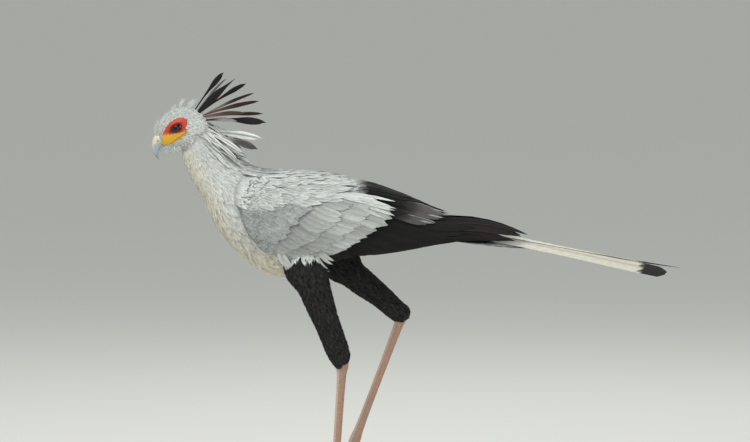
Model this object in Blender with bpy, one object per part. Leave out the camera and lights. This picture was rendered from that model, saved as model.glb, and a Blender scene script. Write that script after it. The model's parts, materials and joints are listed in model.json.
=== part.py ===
"""A secretary bird, life size, in mid stride: it stands on its left leg and swings the right one forward.

Metres, +Z up. The bird looks along -X and its left side is at -Y. Outlines are given in the side view as
(x, z) over the sole of the left foot, widths are along Y. At the end the bird is set on its base, and the
origin is then under the base, below the left foot's toe joint.
"""

import math

import bmesh
import bpy
from mathutils import Matrix, Vector

GAP = 0.0003
CUT = 0.00042

# The trunk and neck, from the throat to the root of the tail: belly side, back side, half width.
TRUNK = (
    ((-0.331, 0.795), (-0.277, 0.852), 0.028),
    ((-0.329, 0.778), (-0.251, 0.815), 0.030),
    ((-0.321, 0.754), (-0.221, 0.783), 0.033),
    ((-0.308, 0.723), (-0.192, 0.764), 0.040),
    ((-0.288, 0.690), (-0.165, 0.755), 0.052),
    ((-0.271, 0.648), (-0.139, 0.750), 0.066),
    ((-0.246, 0.606), (-0.108, 0.748), 0.078),
    ((-0.205, 0.560), (-0.074, 0.743), 0.086),
    ((-0.156, 0.524), (-0.036, 0.736), 0.087),
    ((-0.099, 0.513), (0.002, 0.727), 0.083),
    ((-0.033, 0.530), (0.044, 0.712), 0.072),
    ((0.030, 0.556), (0.092, 0.696), 0.055),
    ((0.095, 0.590), (0.140, 0.676), 0.036),
    ((0.170, 0.609), (0.190, 0.661), 0.022),
)
# The closed form that the folded wings lie on, from the shoulder to the wing tips.
WING_FORM = (
    ((-0.271, 0.648), (-0.139, 0.752), 0.074),
    ((-0.246, 0.606), (-0.108, 0.751), 0.091),
    ((-0.205, 0.560), (-0.073, 0.750), 0.101),
    ((-0.156, 0.522), (-0.033, 0.746), 0.105),
    ((-0.099, 0.512), (0.004, 0.740), 0.103),
    ((-0.033, 0.527), (0.040, 0.731), 0.096),
    ((0.026, 0.542), (0.086, 0.723), 0.086),
    ((0.086, 0.556), (0.136, 0.705), 0.074),
    ((0.147, 0.566), (0.191, 0.683), 0.060),
    ((0.213, 0.578), (0.246, 0.661), 0.052),
    ((0.290, 0.590), (0.323, 0.650), 0.046),
    ((0.360, 0.587), (0.383, 0.632), 0.038),
    ((0.425, 0.582), (0.440, 0.606), 0.026),
)
# How upright the form's side stays towards its lower edge, ring by ring: 2 is an ellipse.
LOWER_SQUARENESS = (2, 2, 2, 2, 2, 2.4, 3, 4, 4, 4, 4, 4, 3)
# The solid arm of the folded wing: ring along WING_FORM, upper and lower edge as angles from the back.
ARM = (
    (0.25, 72, 98),
    (0.5, 60, 105),
    (1.0, 38, 112),
    (1.5, 22, 118),
    (2.0, 12, 121),
    (3.0, 4, 126),
    (4.0, 3, 129),
    (5.0, 3, 126),
    (6.0, 3, 116),
    (7.0, 4, 104),
    (7.8, 8, 86),
)
ARM_DEPTH = 0.013
ARM_POINTS = 7
FEATHER_REST = 0.004
FEATHER_SUNK = 0.008

# The head, from the bill's root to the nape: lower side, upper side, half width.
HEAD = (
    ((-0.3700, 0.7985), (-0.3880, 0.8260), 0.0105),
    ((-0.3650, 0.7975), (-0.3865, 0.8420), 0.0150),
    ((-0.3570, 0.7965), (-0.3785, 0.8620), 0.0195),
    ((-0.3480, 0.7955), (-0.3620, 0.8760), 0.0230),
    ((-0.3400, 0.7950), (-0.3420, 0.8845), 0.0255),
    ((-0.3310, 0.7935), (-0.3190, 0.8850), 0.0280),
    ((-0.3180, 0.7900), (-0.2980, 0.8790), 0.0300),
    ((-0.3000, 0.7930), (-0.2810, 0.8680), 0.0290),
    ((-0.2820, 0.8050), (-0.2720, 0.8520), 0.0200),
)
# The plane that parts head from neck, by its lower and upper ends in the side view.
NECK_CUT = ((-0.338, 0.787), (-0.262, 0.851))
NECK_SPLIT = ((-0.330, 0.722), (-0.170, 0.780))
BREAST_SPLIT = ((-0.112, 0.480), (-0.012, 0.760))
TAIL_SPLIT = ((0.080, 0.540), (0.126, 0.720))

EYE = Vector((-0.3430, 0.0185, 0.8395))
EYE_RADIUS = 0.0105
LID_OUT = 0.0058
LID_LONG = 0.0104
LID_HIGH = 0.0088
LID_THICK = 0.0017
LID_SIDES = 16
LID_ROUND = 5
BROW_OFFSET = (-0.001, 0.001, 0.0125)
BROW_RADIUS = 0.0145
BROW_SHAPE = (1, 0.36, 0.22)

UPPER_BILL = (
    ((-0.3672, 0.8050), (-0.3905, 0.8250), 0.0108),
    ((-0.3727, 0.8015), (-0.3950, 0.8165), 0.0100),
    ((-0.3780, 0.7975), (-0.3975, 0.8070), 0.0085),
    ((-0.3812, 0.7920), (-0.3980, 0.7970), 0.0068),
    ((-0.3835, 0.7850), (-0.3965, 0.7875), 0.0050),
    ((-0.3842, 0.7785), (-0.3925, 0.7795), 0.0034),
    ((-0.3838, 0.7735), (-0.3872, 0.7737), 0.0018),
    ((-0.3822, 0.7692), (-0.3828, 0.7693), 0.0005),
)
LOWER_BILL = (
    ((-0.3560, 0.7945), (-0.3625, 0.8045), 0.0100),
    ((-0.3655, 0.7915), (-0.3697, 0.8005), 0.0090),
    ((-0.3720, 0.7895), (-0.3752, 0.7965), 0.0070),
    ((-0.3772, 0.7880), (-0.3790, 0.7925), 0.0045),
    ((-0.3800, 0.7880), (-0.3806, 0.7895), 0.0020),
)
NOSTRIL = Vector((-0.3845, 0.0083, 0.8115))
NOSTRIL_RADIUS = 0.0028
NOSTRIL_SHAPE = (1, 0.7, 0.34)

# Legs: front edge, back edge and half width of the feathered part, then the bare shank.
STANCE_THIGH = (
    ((-0.118, 0.600), (-0.005, 0.612), 0.034, -0.052),
    ((-0.112, 0.556), (-0.012, 0.580), 0.034, -0.054),
    ((-0.101, 0.512), (-0.014, 0.545), 0.031, -0.054),
    ((-0.076, 0.481), (-0.008, 0.507), 0.028, -0.049),
    ((-0.055, 0.436), (0.003, 0.459), 0.025, -0.042),
    ((-0.034, 0.392), (0.0165, 0.4115), 0.022, -0.035),
    ((-0.0136, 0.341), (0.034, 0.3595), 0.019, -0.028),
    ((-0.002, 0.323), (0.0375, 0.336), 0.016, -0.026),
    ((0.0075, 0.311), (0.0290, 0.314), 0.011, -0.025),
)
SWING_THIGH = (
    ((-0.085, 0.590), (0.015, 0.650), 0.034, 0.052),
    ((-0.050, 0.545), (0.030, 0.605), 0.034, 0.055),
    ((-0.008, 0.5035), (0.058, 0.553), 0.031, 0.056),
    ((0.025, 0.487), (0.0655, 0.5345), 0.029, 0.054),
    ((0.055, 0.466), (0.0915, 0.5115), 0.026, 0.051),
    ((0.085, 0.448), (0.1190, 0.4860), 0.023, 0.048),
    ((0.1145, 0.4245), (0.1465, 0.4590), 0.020, 0.045),
    ((0.1360, 0.4090), (0.1690, 0.4370), 0.017, 0.043),
    ((0.1450, 0.4060), (0.1680, 0.4190), 0.012, 0.042),
)
STANCE_ANKLE = Vector((0.0210, -0.0260, 0.3275))
STANCE_FOOT = Vector((0.0000, -0.0040, 0.0155))
SWING_ANKLE = Vector((0.1555, 0.0430, 0.4310))
SWING_FOOT = Vector((0.0445, 0.0340, 0.1385))
# Along the shank from ankle to toe joint: share, half size fore and aft, half size across.
SHANK = (
    (-0.040, 0.0070, 0.0070),
    (-0.012, 0.0125, 0.0105),
    (0.035, 0.0135, 0.0115),
    (0.090, 0.0105, 0.0090),
    (0.220, 0.0092, 0.0074),
    (0.500, 0.0086, 0.0070),
    (0.780, 0.0088, 0.0074),
    (0.900, 0.0100, 0.0092),
    (0.965, 0.0120, 0.0120),
    (1.010, 0.0110, 0.0115),
    (1.035, 0.0060, 0.0070),
)
# Toes: name, heading from straight ahead in degrees (outer side positive), length, half thickness, claw.
TOES = (
    ("inner", -43, 0.046, 0.0062, 0.022),
    ("middle", -3, 0.066, 0.0068, 0.022),
    ("outer", 40, 0.050, 0.0060, 0.019),
    ("hind", 172, 0.026, 0.0056, 0.022),
)
JOINT_HEIGHT = 0.0155
PALM_RADIUS = 0.0128
PALM_DROP = 0.002
# Height of a toe's middle line over the sole, in half thicknesses: the pads press a little flat.
TOE_REST = 0.88
SWING_PITCH = math.radians(58)
SWING_SPREAD = 0.62
SWING_CURL = 9.0
# How far the hind toe of the lifted foot folds down from the line of the sole.
SWING_FOLD = math.radians(68)
# Along a toe: share of its length, thickness of the pads, rise of the middle line.
TOE_RUN = (
    (0.00, 1.15, 0.0040),
    (0.18, 1.10, 0.0030),
    (0.34, 1.08, 0.0015),
    (0.44, 0.96, 0.0010),
    (0.58, 1.04, 0.0005),
    (0.68, 0.92, 0.0),
    (0.82, 1.00, 0.0),
    (0.93, 0.85, -0.0002),
    (1.00, 0.42, -0.0008),
)
# Along a claw: share of its length, rise of the middle line, half thickness.
CLAW_RUN = (
    (-0.10, 0.0003, 0.0034),
    (0.12, 0.0016, 0.0036),
    (0.40, 0.0022, 0.0029),
    (0.70, 0.0004, 0.0019),
    (0.90, -0.0030, 0.0010),
    (1.00, -0.0052, 0.0006),
)

# Feather rows on each wing: first root, last root, first tip, last tip in the side view, count,
# half width, lift at root and tip off the wing form, colour.
ROWS = (
    ("primary", (0.030, 0.655), (0.030, 0.620), (0.430, 0.603), (0.322, 0.590), 4, 0.0125, -0.015, -0.003),
    ("secondary", (0.010, 0.690), (-0.060, 0.600), (0.290, 0.618), (0.014, 0.552), 7, 0.0180, -0.012, -0.003),
    ("greater", (0.005, 0.690), (-0.120, 0.590), (0.138, 0.655), (-0.056, 0.553), 7, 0.0150, -0.008, 0.0005),
    ("median", (-0.045, 0.712), (-0.158, 0.622), (0.046, 0.672), (-0.104, 0.566), 5, 0.0165, -0.007, 0.0020),
    ("lesser", (-0.108, 0.720), (-0.190, 0.655), (-0.030, 0.690), (-0.150, 0.596), 4, 0.0185, -0.006, 0.0025),
    ("tertial", (-0.030, 0.730), (0.010, 0.690), (0.176, 0.6925), (0.215, 0.640), 3, 0.0170, -0.007, 0.0000),
    ("scapular", (-0.100, 0.742), (-0.075, 0.705), (0.044, 0.727), (0.030, 0.690), 3, 0.0180, -0.006, 0.003),
)
VANE_THICK = 0.0009
VANE_TILT = math.radians(-5.5)
VANE_STATIONS = ((0.0, 0.45), (0.45, 1.0), (0.86, 0.72), (1.0, 0.12))
# How far a feather bends down between root and tip, as a share of its run, at the middle of a row.
VANE_BOW = 0.05

# Blade shapes of the crest: share of the length, share of the half width.
SPATULA = ((0.0, 0.30), (0.50, 0.45), (0.80, 1.0), (1.0, 0.12))
BROAD = ((0.0, 0.35), (0.42, 1.0), (0.72, 0.42), (1.0, 0.10))
SLIM = ((0.0, 0.35), (0.60, 1.0), (0.88, 0.70), (1.0, 0.12))
# Crest feathers: root, tip, half width of the blade, lean of the blade in degrees, blade shape.
CREST = (
    ((-0.301, -0.004, 0.882), (-0.238, -0.030, 0.965), 0.0062, 15, SPATULA),
    ((-0.296, 0.006, 0.880), (-0.234, 0.036, 0.948), 0.0040, -15, SLIM),
    ((-0.296, -0.010, 0.873), (-0.211, -0.046, 0.952), 0.0088, 12, BROAD),
    ((-0.292, 0.012, 0.872), (-0.190, 0.052, 0.936), 0.0055, -12, SPATULA),
    ((-0.286, -0.012, 0.867), (-0.158, -0.054, 0.902), 0.0050, 10, SLIM),
    ((-0.285, 0.012, 0.866), (-0.172, 0.064, 0.914), 0.0048, -10, SLIM),
    ((-0.284, -0.014, 0.864), (-0.190, -0.050, 0.875), 0.0048, 8, SLIM),
    ((-0.282, 0.014, 0.860), (-0.152, 0.050, 0.868), 0.0055, -8, SPATULA),
    ((-0.281, -0.014, 0.857), (-0.144, -0.040, 0.853), 0.0084, 6, SPATULA),
)
HACKLES = (
    ((-0.264, -0.012, 0.830), (-0.152, -0.044, 0.817), 0.0084, 12, SLIM),
    ((-0.263, 0.012, 0.828), (-0.156, 0.044, 0.812), 0.0080, -12, SLIM),
    ((-0.262, -0.018, 0.824), (-0.163, -0.054, 0.795), 0.0084, 16, SPATULA),
    ((-0.261, 0.018, 0.821), (-0.168, 0.054, 0.790), 0.0075, -16, SLIM),
    ((-0.259, -0.014, 0.814), (-0.184, -0.036, 0.776), 0.0070, 20, SLIM),
    ((-0.259, 0.014, 0.812), (-0.190, 0.036, 0.770), 0.0065, -20, SLIM),
)

# Tail feathers under the long middle pair, from the middle out: tip (x, y, z), half width.
TAIL_ROOT = Vector((0.120, 0.0, 0.636))
TAIL_TIPS = (
    (0.458, 0.008, 0.5745, 0.0165),
    (0.436, 0.011, 0.5760, 0.0160),
    (0.412, 0.014, 0.5780, 0.0150),
    (0.386, 0.016, 0.5810, 0.0140),
)
TAIL_ROOT_SPREAD = 0.0022
TAIL_LAYER = 0.0034
TAIL_LEAN = 24
# The long middle pair: bends from the rump to the tip, lean of the blade and its shape. The left one
# shows its blunt black tip broadside, the right one lies almost level and ends in a point.
LONG_LEFT = ((0.120, 0.6480), (0.300, 0.6130), (0.520, 0.5680), (0.734, 0.5220))
LONG_RIGHT = ((0.120, 0.6500), (0.300, 0.6150), (0.520, 0.5725), (0.767, 0.5300))
LONG_LEAN_LEFT = 32
LONG_LEAN_RIGHT = 10
LONG_HALF_WIDTH = 0.0205
LONG_SPREAD = (0.004, 0.016)
BLUNT = ((0.0, 0.55), (0.30, 0.88), (0.62, 0.82), (0.86, 1.0), (0.97, 0.95), (1.0, 0.55))
POINTED = ((0.0, 0.55), (0.30, 0.90), (0.62, 0.85), (0.82, 0.80), (0.93, 0.40), (1.0, 0.10))
STRAIGHT_STATIONS = ((0.0, 0.6), (0.5, 1.0), (0.88, 0.9), (1.0, 0.2))

# The gape: the line of the mouth on the head behind the bill, in the side view.
GAPE = ((-0.376, 0.8030), (-0.3625, 0.8035), (-0.3500, 0.8110), (-0.3400, 0.8190), (-0.3235, 0.8300))
GAPE_DEPTH = 0.0014
GAPE_WIDTH = 0.0006

BASE_CENTRE = (-0.050, 0.0)
BASE_HALF = (0.130, 0.085)
BASE_THICK = 0.006
BASE_BEVEL = 0.0012
BASE_SIDES = 40

GREY = (0.56, 0.57, 0.56)
WHITE = (0.80, 0.79, 0.74)
BLACK = (0.012, 0.011, 0.012)
HORN = (0.42, 0.47, 0.48)
PINK = (0.62, 0.42, 0.34)
EYE_BROWN = (0.05, 0.02, 0.012)
CLAW_DARK = (0.03, 0.027, 0.025)
STONE = (0.60, 0.59, 0.56)


def clear_scene():
    for thing in list(bpy.data.objects):
        bpy.data.objects.remove(thing)


def new_collection(name):
    collection = bpy.data.collections.new(name)
    bpy.context.scene.collection.children.link(collection)
    return collection


def material(name, colour, roughness):
    made = bpy.data.materials.new(name)
    made.use_nodes = True
    shader = made.node_tree.nodes["Principled BSDF"]
    shader.inputs["Base Color"].default_value = (*colour, 1.0)
    shader.inputs["Roughness"].default_value = roughness
    shader.inputs["Metallic"].default_value = 0.0
    return made


def through(rows, per_span):
    """A smooth run through rows of numbers, per_span steps between each two (Catmull-Rom)."""
    run = []
    for i in range(len(rows) - 1):
        a, b, c, d = (rows[min(max(i + k, 0), len(rows) - 1)] for k in (-1, 0, 1, 2))
        for step in range(per_span):
            f = step / per_span
            run.append([cubic(w, x, y, z, f) for w, x, y, z in zip(a, b, c, d)])
    run.append(list(rows[-1]))
    return run


def cubic(a, b, c, d, f):
    return b + 0.5 * f * (c - a + f * (2 * a - 5 * b + 4 * c - d + f * (3 * (b - c) + d - a)))


def at(rows, place):
    """One row of a table, read at a place between its rows."""
    i = min(max(int(math.floor(place)), 0), len(rows) - 2)
    a, b, c, d = (rows[min(max(i + k, 0), len(rows) - 1)] for k in (-1, 0, 1, 2))
    return [cubic(w, x, y, z, place - i) for w, x, y, z in zip(a, b, c, d)]


def flat(table):
    """Side-view rows ((x, z), (x, z), numbers...) as plain rows of numbers."""
    return [[*low, *high, *more] for low, high, *more in table]


def side_ring(row, sides):
    """An oval ring of points in the plane of a row's two ends: x, z below, x, z above, half width."""
    low_x, low_z, high_x, high_z, half = row[:5]
    shift = row[5] if len(row) > 5 else 0.0
    middle = Vector(((low_x + high_x) / 2, shift, (low_z + high_z) / 2))
    arm = Vector(((high_x - low_x) / 2, 0, (high_z - low_z) / 2))
    ring = []
    for k in range(sides):
        turn = 2 * math.pi * k / sides
        ring.append(middle + arm * math.cos(turn) + Vector((0, half * math.sin(turn), 0)))
    return ring


def loft(name, rings):
    """A closed solid through rings of equal length, with flat ends. Its faces point out."""
    mesh = bmesh.new()
    rows = [[mesh.verts.new(p) for p in ring] for ring in rings]
    count = len(rows[0])
    for near, far in zip(rows, rows[1:]):
        for k in range(count):
            mesh.faces.new((near[k], near[(k + 1) % count], far[(k + 1) % count], far[k]))
    mesh.faces.new(rows[0][::-1])
    mesh.faces.new(rows[-1])
    return finish_mesh(name, mesh)


def finish_mesh(name, mesh):
    bmesh.ops.recalc_face_normals(mesh, faces=mesh.faces)
    bmesh.ops.triangulate(mesh, faces=mesh.faces)
    if mesh.calc_volume(signed=True) < 0:
        bmesh.ops.reverse_faces(mesh, faces=mesh.faces)
    data = bpy.data.meshes.new(name)
    mesh.to_mesh(data)
    mesh.free()
    made = bpy.data.objects.new(name, data)
    parts.objects.link(made)
    return made


def ball(name, centre, radius, rings=10, segments=14, scale=(1, 1, 1)):
    mesh = bmesh.new()
    place = Matrix.Translation(centre) @ Matrix.Diagonal((*scale, 1))
    bmesh.ops.create_uvsphere(mesh, u_segments=segments, v_segments=rings, radius=radius, matrix=place)
    return finish_mesh(name, mesh)


def apply_modifiers(thing):
    graph = bpy.context.evaluated_depsgraph_get()
    graph.update()
    data = bpy.data.meshes.new_from_object(thing.evaluated_get(graph))
    thing.modifiers.clear()
    thing.data = data


def keep_largest(thing):
    """Leaves only the largest closed surface of a mesh."""
    mesh = bmesh.new()
    mesh.from_mesh(thing.data)
    seen, shells = set(), []
    for start in mesh.faces:
        if start in seen:
            continue
        shell, todo = [], [start]
        seen.add(start)
        while todo:
            face = todo.pop()
            shell.append(face)
            for edge in face.edges:
                for other in edge.link_faces:
                    if other not in seen:
                        seen.add(other)
                        todo.append(other)
        shells.append(shell)
    shells.sort(key=lambda shell: -sum(face.calc_area() for face in shell))
    scraps = [face for shell in shells[1:] for face in shell]
    bmesh.ops.delete(mesh, geom=scraps, context="FACES")
    bmesh.ops.triangulate(mesh, faces=mesh.faces)
    mesh.to_mesh(thing.data)
    mesh.free()


def boolean(thing, operation, tool):
    change = thing.modifiers.new("cut", "BOOLEAN")
    change.operation = operation
    change.solver = "MANIFOLD"
    change.object = tool
    apply_modifiers(thing)


def fuse(thing, pieces):
    """Joins pieces to a thing in one union, then removes them."""
    group = bpy.data.collections.new("pieces of " + thing.name)
    bpy.context.scene.collection.children.link(group)
    for piece in pieces:
        parts.objects.unlink(piece)
        group.objects.link(piece)
    change = thing.modifiers.new("join", "BOOLEAN")
    change.operation = "UNION"
    change.solver = "MANIFOLD"
    change.operand_type = "COLLECTION"
    change.collection = group
    apply_modifiers(thing)
    for piece in pieces:
        bpy.data.objects.remove(piece)
    bpy.data.collections.remove(group)
    keep_largest(thing)
    return thing


def swollen(thing, by):
    """A copy of a smooth thing with its surface moved out, used as a cutter that leaves a gap."""
    copy = thing.copy()
    copy.data = thing.data.copy()
    cutters.objects.link(copy)
    hide(copy)
    mesh = bmesh.new()
    mesh.from_mesh(copy.data)
    mesh.normal_update()
    moved = [(v, v.normal * by * min(v.calc_shell_factor(), 2.0)) for v in mesh.verts]
    for vert, step in moved:
        vert.co += step
    mesh.to_mesh(copy.data)
    mesh.free()
    return copy


def hide(thing):
    thing.hide_render = True
    thing.display_type = "WIRE"


def carve(thing, *neighbours):
    """Cuts a thing back from its neighbours and leaves the gap that touching pieces keep."""
    for neighbour in neighbours:
        cutter = swollen(neighbour, CUT)
        boolean(thing, "DIFFERENCE", cutter)
        bpy.data.objects.remove(cutter)
    keep_largest(thing)


def part_in_two(thing, ends, front_name, back_name):
    """Parts a thing by the side-view line between two ends, with the usual gap. Returns front, back."""
    (low_x, low_z), (high_x, high_z) = ends
    along = Vector((high_x - low_x, 0, high_z - low_z)).normalized()
    normal = Vector((along.z, 0, -along.x))
    halves = []
    for name, way in ((front_name, -1), (back_name, 1)):
        half = thing.copy()
        half.data = thing.data.copy()
        parts.objects.link(half)
        mesh = bmesh.new()
        mesh.from_mesh(half.data)
        point = Vector((low_x, 0, low_z)) + normal * (way * GAP / 2)
        everything = mesh.verts[:] + mesh.edges[:] + mesh.faces[:]
        cut = bmesh.ops.bisect_plane(
            mesh, geom=everything, plane_co=point, plane_no=normal * way, clear_inner=True
        )
        rim = [e for e in cut["geom_cut"] if isinstance(e, bmesh.types.BMEdge)]
        bmesh.ops.edgeloop_fill(mesh, edges=rim)
        bmesh.ops.recalc_face_normals(mesh, faces=mesh.faces)
        bmesh.ops.triangulate(mesh, faces=mesh.faces)
        mesh.to_mesh(half.data)
        mesh.free()
        halves.append(half)
    bpy.data.objects.remove(thing)
    for half, name in zip(halves, (front_name, back_name)):
        half.name = name
    return halves


def paint(thing, finish, smooth_angle=40):
    thing.data.materials.clear()
    thing.data.materials.append(finish)
    thing.data.shade_smooth()
    thing.data.set_sharp_from_angle(angle=math.radians(smooth_angle))


# The form under the folded wings, read as a height over the side view.
FORM_ROWS = flat(WING_FORM)


def form_ring(place):
    low_x, low_z, high_x, high_z, half = at(FORM_ROWS, place)
    squareness = at([[s] for s in LOWER_SQUARENESS], place)[0]
    return Vector((low_x, low_z)), Vector((high_x, high_z)), half, squareness


def form_point(place, angle, inset=0.0):
    """A point of the left wing's form: ring, angle from the back in degrees, depth under the surface."""
    low, high, half, squareness = form_ring(place)
    share = math.cos(math.radians(angle))
    reach = (high - low) / 2
    power = 2 if share > 0 else squareness
    wide = max(half - inset, 0.002) * max(1 - abs(share) ** power, 0.0) ** (1 / power)
    shrink = max(1 - inset / reach.length, 0.05)
    spot = (low + high) / 2 + reach * share * shrink
    return Vector((spot.x, -max(wide, 0.0012), spot.y))


def ring_through(x, z):
    """The place along the form whose ring passes through a side-view point."""
    def offside(place):
        low, high, _, _ = form_ring(place)
        return (high.x - low.x) * (z - low.y) - (high.y - low.y) * (x - low.x)

    first, last = -0.5, len(FORM_ROWS) - 1.0
    for _ in range(24):
        middle = (first + last) / 2
        if offside(middle) < 0:
            first = middle
        else:
            last = middle
    return first


def form_depth(x, z):
    """How far from the middle plane the form is at a side-view point."""
    place = ring_through(x, z)
    low, high, half, squareness = form_ring(place)
    reach = high - low
    share = 2 * (Vector((x, z)) - low).dot(reach) / reach.length_squared - 1
    power = 2 if share > 0 else squareness
    return half * max(1 - min(abs(share), 0.985) ** power, 0.0) ** (1 / power)


def form_normal(x, z):
    """Outward on the left side, from two short steps over the side view."""
    step = 0.004
    slope_x = (form_depth(x + step, z) - form_depth(x - step, z)) / (2 * step)
    slope_z = (form_depth(x, z + step) - form_depth(x, z - step)) / (2 * step)
    slope_x = min(max(slope_x, -3), 3)
    slope_z = min(max(slope_z, -3), 3)
    return Vector((-slope_x, -1, -slope_z)).normalized()


def vane(name, line, stations, half_width, tilt=0.0):
    """A feather blade: line holds a point and an outward normal for each station."""
    mesh = bmesh.new()
    rows = []
    for i, (_, share) in enumerate(stations):
        point, normal = line[i]
        ahead = line[min(i + 1, len(line) - 1)][0] - line[max(i - 1, 0)][0]
        ahead.normalize()
        across = Matrix.Rotation(tilt, 3, ahead) @ normal.cross(ahead).normalized()
        up = ahead.cross(across).normalized()
        wide = across * half_width * share
        thick = up * VANE_THICK * (0.5 + 0.5 * (1 - i / (len(stations) - 1)))
        corners = (point - wide + thick / 2, point + wide + thick / 2,
                   point + wide - thick / 2, point - wide - thick / 2)
        rows.append([mesh.verts.new(c) for c in corners])
    for (a, b, c, d), (e, f, g, h) in zip(rows, rows[1:]):
        for face in ((a, b, f), (a, f, e), (d, g, c), (d, h, g), (b, c, g), (b, g, f), (a, e, h), (a, h, d)):
            mesh.faces.new(face)
    mesh.faces.new(rows[0][::-1])
    mesh.faces.new(rows[-1])
    return finish_mesh(name, mesh)


def between(a, b, f):
    return (a[0] + (b[0] - a[0]) * f, a[1] + (b[1] - a[1]) * f)


def wing_row(row):
    """One tier of a wing's feathers, laid on the form like roof tiles."""
    name, root_a, root_b, tip_a, tip_b, count, half_width, root_lift, tip_lift = row
    blades = []
    for k in range(count):
        share = k / (count - 1)
        root, tip = between(root_a, root_b, share), between(tip_a, tip_b, share)
        bow = VANE_BOW * math.sin(math.pi * share)
        line = []
        for f, _ in VANE_STATIONS:
            x, z = between(root, tip, f)
            z -= bow * (tip[0] - root[0]) * 4 * f * (1 - f)
            lift = root_lift + (tip_lift - root_lift) * min(f * 1.6, 1.0)
            normal = form_normal(x, z)
            line.append((Vector((x, -form_depth(x, z), z)) + normal * lift, normal))
        blades.append(vane(name, line, VANE_STATIONS, half_width, VANE_TILT))
    return blades


def make_arm():
    """The solid under a folded wing's coverts, from the bend of the wing to the rump."""
    rings = []
    for place, top, low in ARM:
        front_end = min(max((place - 0.1) / 1.2, 0.25), 1.0)
        back_end = min(max((8.6 - place) / 2.0, 0.35), 1.0)
        depth = ARM_DEPTH * front_end * back_end
        outer, inner = [], []
        for k in range(ARM_POINTS):
            share = k / (ARM_POINTS - 1)
            angle = top + (low - top) * share
            rim = math.sin(math.pi * (0.12 + 0.76 * share))
            outer.append(form_point(place, angle, FEATHER_REST + 0.002 * (1 - rim)))
            inner.append(form_point(place, angle, FEATHER_REST + depth * (0.35 + 0.65 * rim) + 0.002))
        rings.append(outer + inner[::-1])
    return loft("wing", rings)


def mirrored(thing, name):
    """A copy on the other side of the middle plane."""
    copy = thing.copy()
    copy.data = thing.data.copy()
    copy.name = name
    parts.objects.link(copy)
    copy.data.transform(Matrix.Diagonal((1, -1, 1, 1)))
    copy.data.flip_normals()
    return copy


def free_vane(name, root, tip, half_width, lean, stations, facing=(0, -1, 0)):
    """A straight feather that stands free of the form, its blade facing a given way and leaning."""
    root, tip = Vector(root), Vector(tip)
    ahead = (tip - root).normalized()
    root -= ahead * FEATHER_SUNK
    normal = Vector(facing)
    normal = (normal - ahead * normal.dot(ahead)).normalized()
    normal = Matrix.Rotation(math.radians(lean), 3, ahead) @ normal
    line = [(root.lerp(tip, f), normal) for f, _ in stations]
    return vane(name, line, stations, half_width)


def tube_along(name, start, end, table, forward, sides):
    """A limb bone: rings at shares of the way from start to end, by half sizes fore and aft and across."""
    axis = (end - start).normalized()
    fore = (forward - axis * forward.dot(axis)).normalized()
    across = axis.cross(fore)
    rings = []
    for share, deep, wide in table:
        centre = start.lerp(end, share)
        rings.append(
            [
                centre + fore * deep * math.cos(2 * math.pi * k / sides)
                + across * wide * math.sin(2 * math.pi * k / sides)
                for k in range(sides)
            ]
        )
    return loft(name, rings)


def limb(name, points, sizes, sides, across):
    """A tapering solid along a run of points: half heights and half widths, ring by ring."""
    rings = []
    for i, (point, (high, wide)) in enumerate(zip(points, sizes)):
        ahead = points[min(i + 1, len(points) - 1)] - points[max(i - 1, 0)]
        rise = ahead.cross(across).normalized()
        level = rise.cross(ahead).normalized()
        turns = [2 * math.pi * k / sides for k in range(sides)]
        rings.append([point + rise * high * math.cos(t) + level * wide * math.sin(t) for t in turns])
    return loft(name, rings)


def cut_flat(thing, height):
    """Takes away what lies below a level and leaves a flat there."""
    mesh = bmesh.new()
    mesh.from_mesh(thing.data)
    everything = mesh.verts[:] + mesh.edges[:] + mesh.faces[:]
    cut = bmesh.ops.bisect_plane(
        mesh, geom=everything, plane_co=(0, 0, height), plane_no=(0, 0, -1), clear_outer=True
    )
    rim = [e for e in cut["geom_cut"] if isinstance(e, bmesh.types.BMEdge)]
    bmesh.ops.edgeloop_fill(mesh, edges=rim)
    bmesh.ops.recalc_face_normals(mesh, faces=mesh.faces)
    bmesh.ops.triangulate(mesh, faces=mesh.faces)
    mesh.to_mesh(thing.data)
    mesh.free()


def make_foot(side, joint, ahead, up, outward, spread, curl, fold):
    """A foot with four toes and its claws. Spread scales the toes' angles, curl bends them down, and
    fold turns the hind toe towards the sole."""
    foot = ball("foot_" + side, joint - up * PALM_DROP, PALM_RADIUS, 7, 10)
    toes = []
    for name, heading, length, half, claw_length in TOES:
        hind = abs(heading) > 90
        turn = math.radians(heading * (1 if hind else spread))
        way = ahead * math.cos(turn) + outward * math.sin(turn)
        bend = 0 if hind else curl
        root = joint - up * (JOINT_HEIGHT - TOE_REST * half)
        across = up.cross(way).normalized()
        rising = up
        if hind:
            folding = Matrix.Rotation(fold, 3, across)
            way, rising = folding @ way, folding @ up

        def spot(reach, rise):
            lean = bend * max(reach, 0) / 2
            return root + way * reach * math.cos(lean) + rising * (rise - reach * math.sin(lean))

        points = [spot(length * share, rise) for share, _, rise in TOE_RUN]
        toe = limb("toe", points, [(half * pad, half * pad) for _, pad, _ in TOE_RUN], 8, across)
        points = [spot(length + claw_length * share, rise) for share, rise, _ in CLAW_RUN]
        sizes = [(thick, thick * 0.8) for _, _, thick in CLAW_RUN]
        claw = limb("claw_" + side + "_" + name, points, sizes, 6, across)
        carve(claw, toe)
        paint(claw, dark)
        toes.append(toe)
    fuse(foot, toes)
    return foot


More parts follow.
